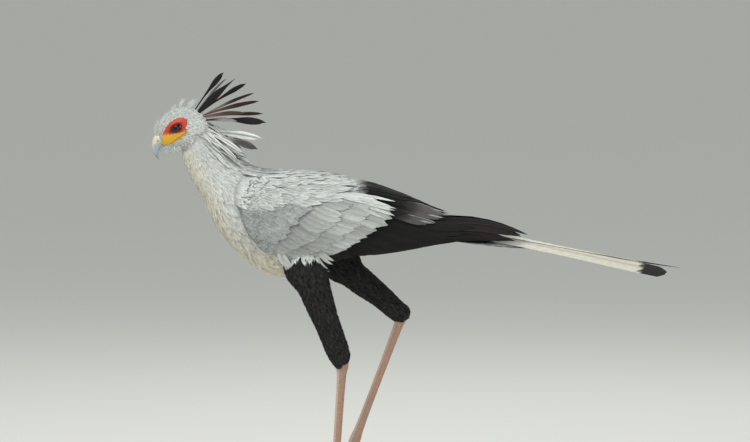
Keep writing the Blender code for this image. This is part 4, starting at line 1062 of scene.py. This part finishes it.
y = ball_y * (1 - ease(0.0, 0.22, s)) + (face_y + 0.0006) * ease(0.0, 0.22, s) + lid + creases + brow
y = np.maximum(y, np.where(s > 0.05, face_y - 0.0006, 0))
y -= ease(0.85, 1.0, s) * 0.0016
below = 0.8239 + (x + 0.3762) * 0.18 - z + 0.0008 * np.sin(x * 900)
mouth_line = z - np.interp(
    x, (-0.376, -0.3625, -0.350, -0.340, -0.3235), (0.8030, 0.8035, 0.8110, 0.8190, 0.8300)
)
tones = mix(np.broadcast_to(RED, x.shape + (3,)), ORANGE, ease(-0.007, 0.001, below))
tones = mix(tones, YELLOW, ease(-0.001, 0.003, below))
# Dark maroon round the eye, fading outwards: partly the skin's own darker colour, partly painted shadow of
# the brow and the lashes.
tones = mix(tones, MAROON_SKIN_AND_SHADE, 0.95 * ease(0.58, 0.18, s) * ease(0.003, -0.003, below))
# A dark line along the mouth: painted shade in its crease.
tones = mix(tones, ORANGE * 0.35, ease(0.0011, 0.0004, np.abs(mouth_line)) * 0.8)
tones = mix(tones, LASH_BLACK, ease(0.13, 0.03, s) * np.ones_like(x))
y -= 0.0004 * ease(0.0010, 0.0003, np.abs(mouth_line)) * ease(0.2, 0.35, s)
for side, way in SIDES:
    p = np.stack([x, way * y, z + lift], -1).reshape(-1, 3)
    quads = grid_quads(SHEET_ROWS, SHEET_SIDES)
    sheet_uv = np.stack([(x + 0.39) / 0.09, (z - 0.79) / 0.09], -1).reshape(-1, 2)
    face = new_mesh("face_" + side, p, quads)
    dress(face, tones.reshape(-1, 3), p * 1000, sheet_uv, quads, bare_skin)

# The eyes: wet balls, dark brown with a black pupil, set in the lids and turned a little forward. Long
# black lashes of horn stand along the upper lid and bend down to the front.
eye_paint, tree, shader = surface_of(
    "wet eye", Roughness=0.12, Coat_Weight=0.4, Coat_Roughness=0.02, Specular_IOR_Level=0.2
)
colour = node(tree, "Attribute", attribute_name="coat")
tree.links.new(colour.outputs["Color"], shader.inputs["Base Color"])
IRIS, IRIS_EDGE = np.array((0.060, 0.022, 0.010)), np.array((0.045, 0.016, 0.008))
PUPIL, EYE_RIM = np.array((0.003, 0.003, 0.003)), np.array((0.03, 0.015, 0.012))
for side, way in SIDES:
    polar, round_ = round_grid(np.linspace(0.001, np.pi - 0.001, 30), 40)
    gaze = unit(np.array((-0.22, way * 1.0, 0.02)))
    flat_ = unit(np.cross(gaze, (0, 0, 1)))
    rise = np.cross(flat_, gaze)
    out = (
        gaze * np.cos(polar)[..., None]
        + (flat_ * np.cos(round_)[..., None] + rise * np.sin(round_)[..., None]) * np.sin(polar)[..., None]
    )
    eye = tube("eye_" + side, EYE * (1, way, 1) + np.array((0, 0, lift)) + out * (EYE_RADIUS - 0.0001))
    wide = np.sin(polar) * EYE_RADIUS
    ring = mix(np.broadcast_to(IRIS, polar.shape + (3,)), IRIS_EDGE, ease(0.0045, 0.0068, wide))
    ring = mix(ring, PUPIL, ease(0.0041, 0.0036, wide))
    ring = mix(ring, EYE_RIM, ease(0.0068, 0.0074, wide) + (polar > 1.6))
    ring = np.concatenate([ring.reshape(-1, 3), ring[:1, 0], ring[-1:, 0]])
    layer = eye.data.uv_layers.new(name="OFBake")
    corner = per_vertex(eye)[:, ::2].astype(float)[[loop.vertex_index for loop in eye.data.loops]]
    layer.data.foreach_set(
        "uv", ((corner - corner.min(0)) / np.ptp(corner, axis=0)).astype(np.float32).ravel()
    )
    dress(eye, ring, np.zeros((len(ring), 3)), None, None, eye_paint)
    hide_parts("eye_" + side)
rng = np.random.default_rng(90)
LASHES = 30
for side, way in SIDES:
    angle = np.radians(np.linspace(18, 165, LASHES)) + SLIT_SLOPE
    root = np.stack(
        [EYE[0] + 0.0096 * np.cos(angle), np.zeros(LASHES), EYE[2] + 0.0076 * np.sin(angle) + lift], -1
    )
    root[:, 1] = way * (EYE[1] + 0.0078)
    aim = np.stack([np.cos(angle) * 0.55, np.full(LASHES, way * 1.0), np.sin(angle) * 0.45 + 0.05], -1)
    t = np.linspace(0, 1, 6)[None, :, None]
    length = rng.uniform(0.007, 0.0105, (LASHES, 1, 1))
    lines = root[:, None] + unit(aim)[:, None] * length * t + np.array((0.25, 0, -0.55)) * length * t**2
    normals = np.broadcast_to(np.array((0, 0, 1.0)), lines.shape)
    blades(
        "lashes_" + side, lines, normals, 0.00028, ((0, 1), (1, 0.15)), LASH_BLACK, glossy, "plumage_black",
        91, columns=2, cup=0, blunt=0
    )

# The head's coat: short grey feathers in the skin of skull and cheeks, left off the bare face and the
# bill. Stiff bristles of horn stand on the forehead, the lores and the chin, and loose tufts on the crown.
place, turn, gap = lay(HEAD, -0.3, 7.9, ((0, 0.0024), (3, 0.0030), (7, 0.0040)), 95)
p = spot(HEAD, place, turn)
x, z = p[:, 0], p[:, 2] - lift
middle = np.abs(p[:, 1]) < 0.006
off_face = np.hypot(x - EYE[0], z - EYE[2]) > face_edge(x, z) * 0.97
keep = (off_face | middle) & (x - (z - 0.80) * -0.30 > -0.3765)
place, turn, gap, middle = place[keep], turn[keep], gap[keep], middle[keep]
length = gap * rng.uniform(2.0, 3.0, len(gap))
lines, normals = down_lines(HEAD, place, turn, length, 0.06, gap * 0.3, (0.0002, 0.0012), 4)
x, z = lines[..., 0], lines[..., 2] - lift
clear = (np.hypot(x - EYE[0], z - EYE[2]) > 0.92 * face_edge(x, z)).all(1) | middle
gap, lines, normals = gap[clear], lines[clear], normals[clear]
crown = ease(0.850, 0.872, lines[:, 1, 2] - lift)
base = mix(np.broadcast_to(PALE * 1.05, (len(gap), 3)), GREY * 1.05, 0.55 * crown)
tones = vary(base, 0.06, 4, 3, 0.05, 0.05)
blades(
    "head_coat", lines, normals, gap * 0.5, LANCE, tones, soft, "plumage_grey", 96, cup=0.2, blunt=0.4,
    fray=0.10
)
tufts = (
    (170, (-0.7, 1.6), (-50, 50), (-0.80, 0, 0.55), (0.005, 0.013), 0.00050, PALE * 1.15),
    (240, (0.4, 5.0), (146, 214), (0.15, 0, -1.0), (0.006, 0.016), 0.00055, PALE * 1.15),
    (30, (3.4, 3.8), (-24, 24), (0.10, 0, 1.0), (0.006, 0.013), 0.00060, PALE * 1.2),
    (46, (4.1, 4.4), (-20, 20), (0.20, 0, 1.0), (0.010, 0.026), 0.00070, PALE * 1.2),
    (46, (4.9, 5.3), (-20, 20), (0.45, 0, 1.0), (0.010, 0.026), 0.00070, PALE * 1.2),
)
for k, (count, places, turns, way_of, lengths, half, tone_of) in enumerate(tufts):
    place = rng.uniform(*places, count)
    turn = np.radians(rng.uniform(*turns, count))
    p, _, n = lie(HEAD, place, turn)
    aim = unit(np.array(way_of) * 0.8 + n * 0.7 + rng.normal(0, 0.16, (count, 3)))
    length = rng.uniform(*lengths, count)[:, None, None]
    t = np.linspace(0, 1, 5)[None, :, None]
    lines = (
        (p - n * 0.001)[:, None] + aim[:, None] * length * t + np.array((0.25, 0, -0.05)) * length * t**2
    )
    normals = np.broadcast_to(np.array((0, 1.0, 0.1)), lines.shape)
    blades(
        "tuft_%d" % k, lines, normals, half, ((0, 1), (0.6, 0.8), (1, 0.1)), tone_of, soft, "plumage_grey",
        97 + k, columns=2, cup=0, blunt=0
    )

# The crest: black spoon-shaped plumes on thin shafts of horn, rooted in the skin of the nape, with pale
# ones under them. Loose lances and short feathers of the throat lie over the top of the neck below.
# A row of PLUMES holds root, tip, half width, outline, and colours at the root and at the tip.
BROWN = np.array((0.075, 0.045, 0.038))
ASH = np.array((0.30, 0.29, 0.28))
SPATULA = ((0, 0.22), (0.30, 0.26), (0.50, 0.50), (0.68, 0.95), (0.80, 1.0), (0.92, 0.70), (1, 0.12))
BROAD = ((0, 0.35), (0.20, 0.70), (0.42, 1.0), (0.58, 0.80), (0.72, 0.42), (0.88, 0.16), (1, 0.05))
SLIM = ((0, 0.28), (0.35, 0.62), (0.60, 1.0), (0.88, 0.70), (0.96, 0.40), (1, 0.1))
WHITE = PALE * 1.12
PLUMES = (
    ((-0.301, -0.004, 0.882), (-0.2380, -0.030, 0.965), 0.0062, SPATULA, BLACK, BLACK),
    ((-0.296, 0.006, 0.880), (-0.2340, 0.036, 0.948), 0.0028, SLIM, ASH, ASH * 0.4),
    ((-0.296, -0.010, 0.873), (-0.2110, -0.046, 0.952), 0.0088, BROAD, BLACK, BLACK),
    ((-0.292, 0.012, 0.872), (-0.1900, 0.052, 0.936), 0.0055, SPATULA, BLACK, BLACK),
    ((-0.286, -0.012, 0.867), (-0.1580, -0.054, 0.902), 0.0050, SLIM, BROWN * 1.6, BROWN * 0.5),
    ((-0.285, 0.012, 0.866), (-0.1720, 0.064, 0.914), 0.0040, SLIM, ASH, BROWN * 0.6),
    ((-0.284, -0.014, 0.864), (-0.1900, -0.050, 0.875), 0.0048, SLIM, BROWN * 1.8, BROWN),
    ((-0.282, 0.014, 0.860), (-0.1520, 0.050, 0.868), 0.0045, SPATULA, ASH, BROWN * 0.7),
    ((-0.281, -0.014, 0.857), (-0.1440, -0.040, 0.853), 0.0084, SPATULA, BLACK, BLACK),
    ((-0.281, -0.014, 0.856), (-0.2080, -0.036, 0.856), 0.0046, SLIM, BLACK * 2, ASH),
    ((-0.264, -0.012, 0.830), (-0.1520, -0.044, 0.817), 0.0084, SLIM, PALE * 0.8, WHITE),
    ((-0.263, 0.012, 0.828), (-0.1560, 0.044, 0.812), 0.0080, SLIM, PALE, ASH * 1.4),
    ((-0.262, -0.018, 0.824), (-0.1630, -0.054, 0.795), 0.0084, SPATULA, ASH * 1.3, BLACK * 3.5),
    ((-0.261, 0.018, 0.821), (-0.1680, 0.054, 0.790), 0.0075, SLIM, PALE, BLACK * 2),
    ((-0.259, -0.014, 0.814), (-0.1840, -0.036, 0.776), 0.0070, SLIM, WHITE, PALE),
    ((-0.259, 0.014, 0.812), (-0.1900, 0.036, 0.770), 0.0065, SLIM, WHITE, ASH),
    ((-0.266, -0.020, 0.826), (-0.1980, -0.050, 0.788), 0.0050, SLIM, WHITE, WHITE),
    ((-0.266, 0.020, 0.826), (-0.2000, 0.048, 0.790), 0.0050, SLIM, WHITE, ASH),
    ((-0.262, -0.022, 0.812), (-0.2100, -0.044, 0.772), 0.0046, SLIM, WHITE, PALE),
    ((-0.262, 0.022, 0.812), (-0.2080, 0.044, 0.774), 0.0046, SLIM, WHITE, WHITE),
)
STEPS_OF_PLUME, columns = 14, 5
roots, tips = (np.array([plume[k] for plume in PLUMES]) + np.array((0, 0, lift)) for k in (0, 1))
t = np.linspace(0, 1, STEPS_OF_PLUME)[None, :, None]
aheads = unit(tips - roots)
lines = (roots - aheads * 0.006)[:, None] + (tips - roots + aheads * 0.006)[:, None] * t
lines = lines + np.array((0, 0, 0.004)) * 4 * t * (1 - t)
facing = np.array([(0, -1.0, 0.25 if plume[1][1] < 0 else -0.25) for plume in PLUMES])
facing = unit(facing - aheads * (facing * aheads).sum(1, keepdims=True))
for k, (_, _, half, shape, near, far) in enumerate(PLUMES):
    c = np.abs(np.linspace(-1, 1, columns))[None, :, None]
    f = ease(0.25, 0.6, np.linspace(0, 1, STEPS_OF_PLUME))[:, None, None]
    tones = near + (far - near) * f + 0.06 * c**4 * (near.mean() > 0.2)
    tones = mix(
        tones * np.ones((1, columns, 1)), BLACK * 2,
        0.7 * (c < 0.2)[..., 0] * (far.mean() > 0.3) * np.ones((STEPS_OF_PLUME, 1))
    )
    normals = np.broadcast_to(facing[k], (1, STEPS_OF_PLUME, 3))
    gloss = glossy if far.mean() < 0.1 else soft
    blades(
        "plume_%d" % k, lines[k : k + 1], normals, half, shape, tones[None], gloss, "plumage_black",
        110 + k, columns=columns, cup=0.15, blunt=0.5, fray=0.03, on_skin=False
    )
count, steps = 420, 8
place, turn = rng.uniform(-0.6, 2.8, count), np.radians(rng.normal(0, 44, count))
p, _, n = lie(TRUNK, place, turn)
aim = unit(np.array((0.86, 0, -0.42)) + n * 0.20 + rng.normal(0, 0.10, (count, 3)))
length = rng.uniform(0.030, 0.072, count) * np.interp(place, (0, 2.6), (1.0, 0.75))
t = np.linspace(0, 1, steps)[None, :, None]
lines = (
    (p - n * 0.003)[:, None] + aim[:, None] * length[:, None, None] * t
    + np.array((0, 0, -0.30)) * length[:, None, None] * t**2
)
normals = unit(n[:, None] + np.zeros((1, steps, 1)))
tones = vary(PALE * 1.04, 0.10, steps, 3, 0.1, 0.0, count=count)
tones[::6, 2:, 1] *= 0.35
blades(
    "hackles", lines, normals, rng.uniform(0.0010, 0.0026, count), LANCE, tones, soft, "plumage_grey", 130,
    cup=0.25, fray=0.15
)
place, turn, gap = lay(TRUNK, -0.95, 1.3, ((0, 0.0034), (2, 0.0040)), 131)
length = gap * rng.uniform(4.5, 7.0, len(gap))
lines, normals = down_lines(TRUNK, place, turn, length, 0.08, gap * 0.2, (0.0008, 0.0026))
tones = vary(coat_tone(lines[:, 2]), 0.07, 5, 3, 0.04, 0.06)
blades(
    "throat_coat", lines, normals, gap * 0.42, LANCE, tones, soft, "plumage_grey", 132, cup=0.3, blunt=0.5,
    fray=0.12
)

# The bill: two halves of horn over the jaws, with a pale waxy cere at the root, blue grey sides and a
# darker hook. A bare slit in the cere on each side is the nostril.
wear, entry, leave = shared(
    "wear", (("Point", "Vector"), ("Scale", "Float"), ("Darkest", "Float"), ("Palest", "Float"))
)
cloud = node(
    wear, "TexNoise",
    [("Vector", entry.outputs["Point"]), ("Scale", entry.outputs["Scale"]), ("Detail", 5.0)]
)
shade = node(
    wear, "MapRange",
    [(0, cloud.outputs[0]), (1, 0.3), (2, 0.7), (3, entry.outputs["Darkest"]), (4, entry.outputs["Palest"])]
)
wear.links.new(shade.outputs[0], leave.inputs["Shade"])
wear.links.new(cloud.outputs[0], leave.inputs["Height"])


def worn(name, scale, darkest, palest, relief, roughness):
    """A hard surface in its own colours, clouded by wear in patches of a scale, with a fine relief."""
    cloud = {"Scale": scale, "Darkest": darkest, "Palest": palest}
    return coloured(name, wear, cloud, relief, 0.0003, Roughness=roughness)


horn = worn("horn", 0.8, 0.82, 1.12, 0.25, 0.35)
UPPER_BILL = (
    (-0.3600, 0.8050, -0.3840, 0.8270, 0.0105, 0, 2.2),
    (-0.3672, 0.8050, -0.3905, 0.8250, 0.0108, 0, 2.2),
    (-0.3727, 0.8015, -0.3950, 0.8165, 0.0100, 0, 2.4),
    (-0.3780, 0.7975, -0.3975, 0.8070, 0.0085, 0, 2.6),
    (-0.3812, 0.7920, -0.3980, 0.7970, 0.0068, 0, 2.4),
    (-0.3835, 0.7850, -0.3965, 0.7875, 0.0050, 0, 2.2),
    (-0.3842, 0.7785, -0.3925, 0.7795, 0.0034, 0, 2),
    (-0.3838, 0.7735, -0.3872, 0.7737, 0.0018, 0, 2),
    (-0.3822, 0.7692, -0.3828, 0.7693, 0.0005, 0, 2),
)
LOWER_BILL = (
    (-0.3560, 0.7945, -0.3625, 0.8045, 0.0100, 0, 2),
    (-0.3655, 0.7915, -0.3697, 0.8005, 0.0090, 0, 2),
    (-0.3720, 0.7895, -0.3752, 0.7965, 0.0070, 0, 2),
    (-0.3772, 0.7880, -0.3790, 0.7925, 0.0045, 0, 2),
    (-0.3800, 0.7880, -0.3806, 0.7895, 0.0020, 0, 2),
)
CERE = np.array((0.70, 0.66, 0.48))
HORN_GREY = np.array((0.40, 0.46, 0.49))
HORN_TIP = np.array((0.20, 0.23, 0.25))
NOSTRIL = np.array((-0.3845, 0.8115))
NOSTRIL_PAINTED_SHADE = np.array((0.02, 0.016, 0.012))
for name, form, node_name in (
    ("upper_bill", UPPER_BILL, "bill_upper"), ("lower_bill", LOWER_BILL, "bill_lower")
):
    bill = sleeve(name, np.array(form), 70, 40)
    p = per_vertex(bill)
    x, z = p[:, 0], p[:, 2] - lift
    right, up = x - NOSTRIL[0], z - NOSTRIL[1]
    slit = np.exp(-((right * 0.94 + up * 0.34) / 0.0030) ** 4 - ((up * 0.94 - right * 0.34) / 0.0010) ** 4)
    if name == "upper_bill":
        p[:, 1] -= np.sign(p[:, 1]) * slit * 0.0016
        bill.data.vertices.foreach_set("co", p.ravel())
    tones = mix(np.broadcast_to(CERE, p.shape), HORN_GREY, ease(0.8125, 0.8045, z - (x + 0.385) * 0.6))
    tones = mix(tones, HORN_TIP, ease(0.787, 0.772, z) * 0.8)
    # A paler patch on the front curve of the upper bill: painted highlight.
    tones = mix(tones, CERE * 0.9, ease(-0.3905, -0.3955, x) * ease(0.785, 0.80, z) * 0.4)
    # The nostril slit is painted near black: painted shade in the opening.
    tones = mix(tones, NOSTRIL_PAINTED_SHADE, slit * (name == "upper_bill"))
    solid_uv(bill)
    dress(bill, tones, p * 1000, None, None, horn)
    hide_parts(node_name)

# The shanks: bare legs of bone and sinew in scaled skin, from the ankle down to the foot. Broad plates
# of horn run down the front, and small beads of scale cover the sides and the back.
scaled = worn("scaled skin", 0.35, 0.80, 1.15, 0.10, 0.5)
PINK = np.array((0.50, 0.31, 0.22))
SCUTE = np.array((0.62, 0.49, 0.38))
# Share of the way down, then half depth and half width.
SHANK = np.array([
    (-0.040, 0.0070, 0.0070),
    (-0.012, 0.0125, 0.0105),
    (0.035, 0.0135, 0.0115),
    (0.090, 0.0105, 0.0090),
    (0.220, 0.0092, 0.0074),
    (0.500, 0.0086, 0.0070),
    (0.780, 0.0088, 0.0074),
    (0.900, 0.0100, 0.0092),
    (0.965, 0.0120, 0.0120),
    (1.010, 0.0110, 0.0115),
    (1.035, 0.0060, 0.0070),
])
SHANK_LENGTH, SCALE, SCALE_HEIGHT = 0.314, 0.0030, 0.0006
FOOT_JOINTS = {"left": (0.0, -0.0040, 0.0155), "right": (0.0445, 0.0340, 0.1385)}


def scales(run, turn, size, girth):
    """Height from 0 to 1 of a skin of plates in front and beads behind, and how far it is in front."""
    front = ease(0.45, 0.62, np.cos(turn))
    plate = np.mod(run / (size * 2.1) + 0.12 * np.sin(turn * 2) ** 2, 1.0)
    plates = np.minimum(ease(0.0, 0.16, plate), ease(1.0, 0.90, plate))
    around = turn * girth / size
    row = np.floor(run / size)
    u, v = np.mod(around + 0.5 * np.mod(row, 2), 1.0) - 0.5, np.mod(run / size, 1.0) - 0.5
    beads = ease(0.62, 0.20, np.hypot(u, v))
    return plates * front + beads * (1 - front), front


def pipe(name, middle, first, second, turn, deep, wide):
    """A closed tube round middle points, from its half sizes along two directions across it."""
    return tube(
        name, middle + first * (deep * np.cos(turn))[..., None] + second * (wide * np.sin(turn))[..., None]
    )


def along_rows(rows, share):
    """A table's numbers at shares that stand in its first column."""
    return read(rows, np.interp(share, rows[:, 0], np.arange(len(rows))))


for side, ankle in (("left", (0.0210, -0.0260, 0.3275)), ("right", (0.1555, 0.0430, 0.4310))):
    ankle, joint = np.array(ankle) + (0, 0, lift), np.array(FOOT_JOINTS[side]) + (0, 0, lift)
    axis = unit(joint - ankle)
    fore = unit(np.array((-1.0, 0, 0)) - axis * (axis @ np.array((-1.0, 0, 0))))
    wide = np.cross(axis, fore)
    share, turn = round_grid(np.linspace(-0.04, 1.03, 420), 56)
    size = along_rows(SHANK, share)
    grain_height, front = scales(share * SHANK_LENGTH + 0.02, turn, SCALE, 0.0088)
    grown = 1 + (SCALE_HEIGHT * grain_height - SCALE_HEIGHT / 2) / 0.009
    centre = ankle + (joint - ankle) * share[..., None]
    shank = pipe("shank_" + side, centre, fore, wide, turn, size[..., 1] * grown, size[..., 2] * grown)
    # The skin darkens where grain_height is low, between the scales: painted shade in the grooves.
    tones = mix(
        mix(np.broadcast_to(PINK, turn.shape + (3,)), SCUTE, front * 0.8), PINK * 0.55,
        (1 - grain_height) * 0.75
    )
    tones = np.concatenate([tones.reshape(-1, 3), tones[:1, 0], tones[-1:, 0]])
    solid_uv(shank)
    dress(shank, tones, per_vertex(shank) * 1000, None, None, scaled)
    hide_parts("shank_" + side)

# The feet: a palm and four toes of flesh in one scaled skin, with plates on top and pads below, and a
# blunt claw of black horn on each toe. The left foot stands, and the right one hangs folded behind.
# Toes: name, heading in degrees, length, half width and claw length.
TOES = (
    ("inner", -43, 0.046, 0.0062, 0.022), ("middle", -3, 0.066, 0.0068, 0.022),
    ("outer", 40, 0.050, 0.0060, 0.019), ("hind", 172, 0.026, 0.0056, 0.022)
)
# Down a toe and a claw: share, then half width share and rise, or rise and half width.
TOE_RUN = np.array(
    (
        (-0.10, 1.05, 0.0045), (0.00, 1.15, 0.0040), (0.18, 1.10, 0.0030), (0.34, 1.08, 0.0015),
        (0.44, 0.96, 0.0010), (0.58, 1.04, 0.0005), (0.68, 0.92, 0.0), (0.82, 1.00, 0.0),
        (0.93, 0.85, -0.0002), (1.00, 0.42, -0.0008)
    )
)
CLAW_RUN = np.array(
    (
        (-0.10, 0.0003, 0.0034), (0.12, 0.0016, 0.0036), (0.40, 0.0022, 0.0029), (0.70, 0.0004, 0.0019),
        (0.90, -0.0030, 0.0010), (1.00, -0.0052, 0.0006)
    )
)
claw_paint = surface_of("claw horn", Base_Color=(0.035, 0.030, 0.027, 1), Roughness=0.32)[0]
PITCH, FOLD = math.radians(58), math.radians(68)
PALM_RADIUS, SOLE, FOOT_CELL = 0.0126, 0.0155, 0.0008
stance = ("left", (-1, 0, 0), (0, 0, 1), (0, -1, 0), 1.0, 0.0, 0.0)
swing = (
    "right", (-math.cos(PITCH), 0, -math.sin(PITCH)), (-math.sin(PITCH), 0, math.cos(PITCH)), (0, 1, 0),
    0.62, 9.0, FOLD
)
for side, *axes, spread, curl, fold in (stance, swing):
    joint = np.array(FOOT_JOINTS[side]) + (0, 0, lift)
    ahead, up, outward = (np.array(axis, float) for axis in axes)
    polar, turn = round_grid(np.linspace(0.01, np.pi - 0.01, 20), 32)
    palm = (
        np.stack([np.sin(polar) * np.cos(turn), np.sin(polar) * np.sin(turn), np.cos(polar)], -1)
        * PALM_RADIUS
    )
    pieces = [tube("foot_palm", joint - up * 0.002 + palm)]
    for name, heading, length, half, claw_length in TOES:
        hind = abs(heading) > 90
        swung = math.radians(heading * (1 if hind else spread))
        way = ahead * math.cos(swung) + outward * math.sin(swung)
        bend = 0.0 if hind else curl
        root = joint - up * (SOLE - 0.88 * half)
        level = unit(np.cross(up, way))
        rising = up
        if hind:
            way, rising = (
                way * math.cos(fold) - up * math.sin(fold),
                up * math.cos(fold) + way * math.sin(fold)
            )

        def limb(reach, rise):
            lean = bend * np.maximum(reach, 0) / 2
            return (
                root + way * (reach * np.cos(lean))[..., None]
                + rising * (rise - reach * np.sin(lean))[..., None]
            )

        share, turn = round_grid(np.linspace(-0.10, 1.0, 110), 36)
        run = along_rows(TOE_RUN, share)
        bumps, front = scales(share * length + 0.01, turn, 0.0024, half)
        size = half * run[..., 1] * (1 + (0.0005 * bumps - 0.0002) / half)
        middle = limb(share * length, run[..., 2])
        pieces.append(pipe("toe", middle, rising, level, turn, size, size))
        share, turn = round_grid(np.linspace(-0.10, 1.0, 30), 20)
        run = along_rows(CLAW_RUN, share)
        middle = limb(length + claw_length * share, run[..., 1])
        claw = pipe(
            "claw_%s_%s" % (side, name), middle, rising, level, turn, run[..., 2], run[..., 2] * 0.8
        )
        solid_uv(claw)
        claw.data.materials.append(claw_paint)
        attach(claw, "root")
        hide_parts("claw_%s_%s" % (side, name))
    foot = one_skin(pieces, "foot_" + side, FOOT_CELL)
    p = per_vertex(foot)
    if side == "left":
        p[:, 2] = np.maximum(p[:, 2], lift)
        foot.data.vertices.foreach_set("co", p.ravel())
    on_top = ((p - joint) @ up + SOLE) / 0.012
    tones = mix(np.broadcast_to(PINK * 0.85, p.shape), SCUTE * 0.9, ease(0.45, 0.95, on_top))
    solid_uv(foot)
    dress(foot, tones, p * 1000, None, None, scaled)
    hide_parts("foot_" + side)

# The base: a low oval plate of honed stone under the standing foot, with a softened rim. It carries the
# bird, whose weight falls close to the tip of its longest claw.
base_paint, tree, shader = surface_of("honed stone", Roughness=0.6)
spots = node(tree, "TexCoord")
grain = node(tree, "TexNoise", [("Vector", spots.outputs["Object"]), ("Scale", 90.0), ("Detail", 6.0)])
stone = node(tree, "ValToRGB", [(0, grain.outputs[0])])
stone.color_ramp.elements[0].color = (0.42, 0.41, 0.39, 1)
stone.color_ramp.elements[1].color = (0.66, 0.65, 0.62, 1)
tree.links.new(stone.outputs[0], shader.inputs["Base Color"])
BASE_MIDDLE, BASE_LONG, BASE_WIDE, BASE_SIDES = -0.050, 0.130, 0.085, 120
turn = np.linspace(0, 2 * np.pi, BASE_SIDES, endpoint=False)
rings = []
for height, inset in (
    (0.0, 0.0012), (0.0004, 0.0004), (0.0012, 0.0), (0.0048, 0.0), (0.0056, 0.0004), (0.0060, 0.0012)
):
    x, y = BASE_MIDDLE + (BASE_LONG - inset) * np.cos(turn), (BASE_WIDE - inset) * np.sin(turn)
    rings.append(np.stack([x, y, np.full(BASE_SIDES, height)], -1))
base = tube("stand_base", np.array(rings))
base.data.set_sharp_from_angle(angle=math.radians(50))
solid_uv(base)
base.data.materials.append(base_paint)
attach(base, "root")
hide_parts("stand_base")

# The stage: a plain pale floor that runs out of sight, under soft studio light from three broad lamps,
# and the bird's side view from far off. None of it belongs to the bird.
FLOOR_REACH = 90
corners = np.array(((-1, -1, 0), (1, -1, 0), (1, 1, 0), (-1, 1, 0))) * FLOOR_REACH
floor = new_mesh("floor", corners, np.array(((0, 1, 2, 3),)))
floor.data.materials.append(surface_of("floor", Base_Color=(0.66, 0.66, 0.63, 1), Roughness=0.9)[0])
bpy.context.scene.view_settings.view_transform = "Standard"
world = bpy.data.worlds.new("studio")
bpy.context.scene.world = world
world.use_nodes = True
world.node_tree.nodes["Background"].inputs["Color"].default_value = (0.92, 0.95, 0.92, 1)
world.node_tree.nodes["Background"].inputs["Strength"].default_value = 0.60
LIGHT_AIM = Vector((0.05, 0, 0.55))
for label, where, size, power in (
    ("key", (-1.6, -1.8, 4.4), 2.2, 135), ("fill", (2.6, -3.6, 1.6), 3.0, 22),
    ("rim", (0.8, 2.6, 3.4), 2.0, 40)
):
    lamp = bpy.data.lights.new(label, "AREA")
    lamp.size = size
    lamp.energy = power
    lamp_object = bpy.data.objects.new(label, lamp)
    bpy.context.scene.collection.objects.link(lamp_object)
    lamp_object.location = where
    aim = LIGHT_AIM - Vector(where)
    lamp_object.rotation_euler = aim.to_track_quat("-Z", "Y").to_euler()
PIXEL = 0.0022
DISTANCE = 14.0
view_from = math.radians(4)
target = Vector((0.0924, 0.0, 0.6347 + lift))
camera_data = bpy.data.cameras.new("camera")
camera_data.sensor_width = 36
camera_data.lens = 36 * DISTANCE / (750 * PIXEL)
camera_data.clip_end = 100
camera = bpy.data.objects.new("camera", camera_data)
bpy.context.scene.collection.objects.link(camera)
camera.location = target + Vector((0, -math.cos(view_from), math.sin(view_from))) * DISTANCE
camera.rotation_euler = (target - camera.location).to_track_quat("-Z", "Y").to_euler()
bpy.context.scene.camera = camera
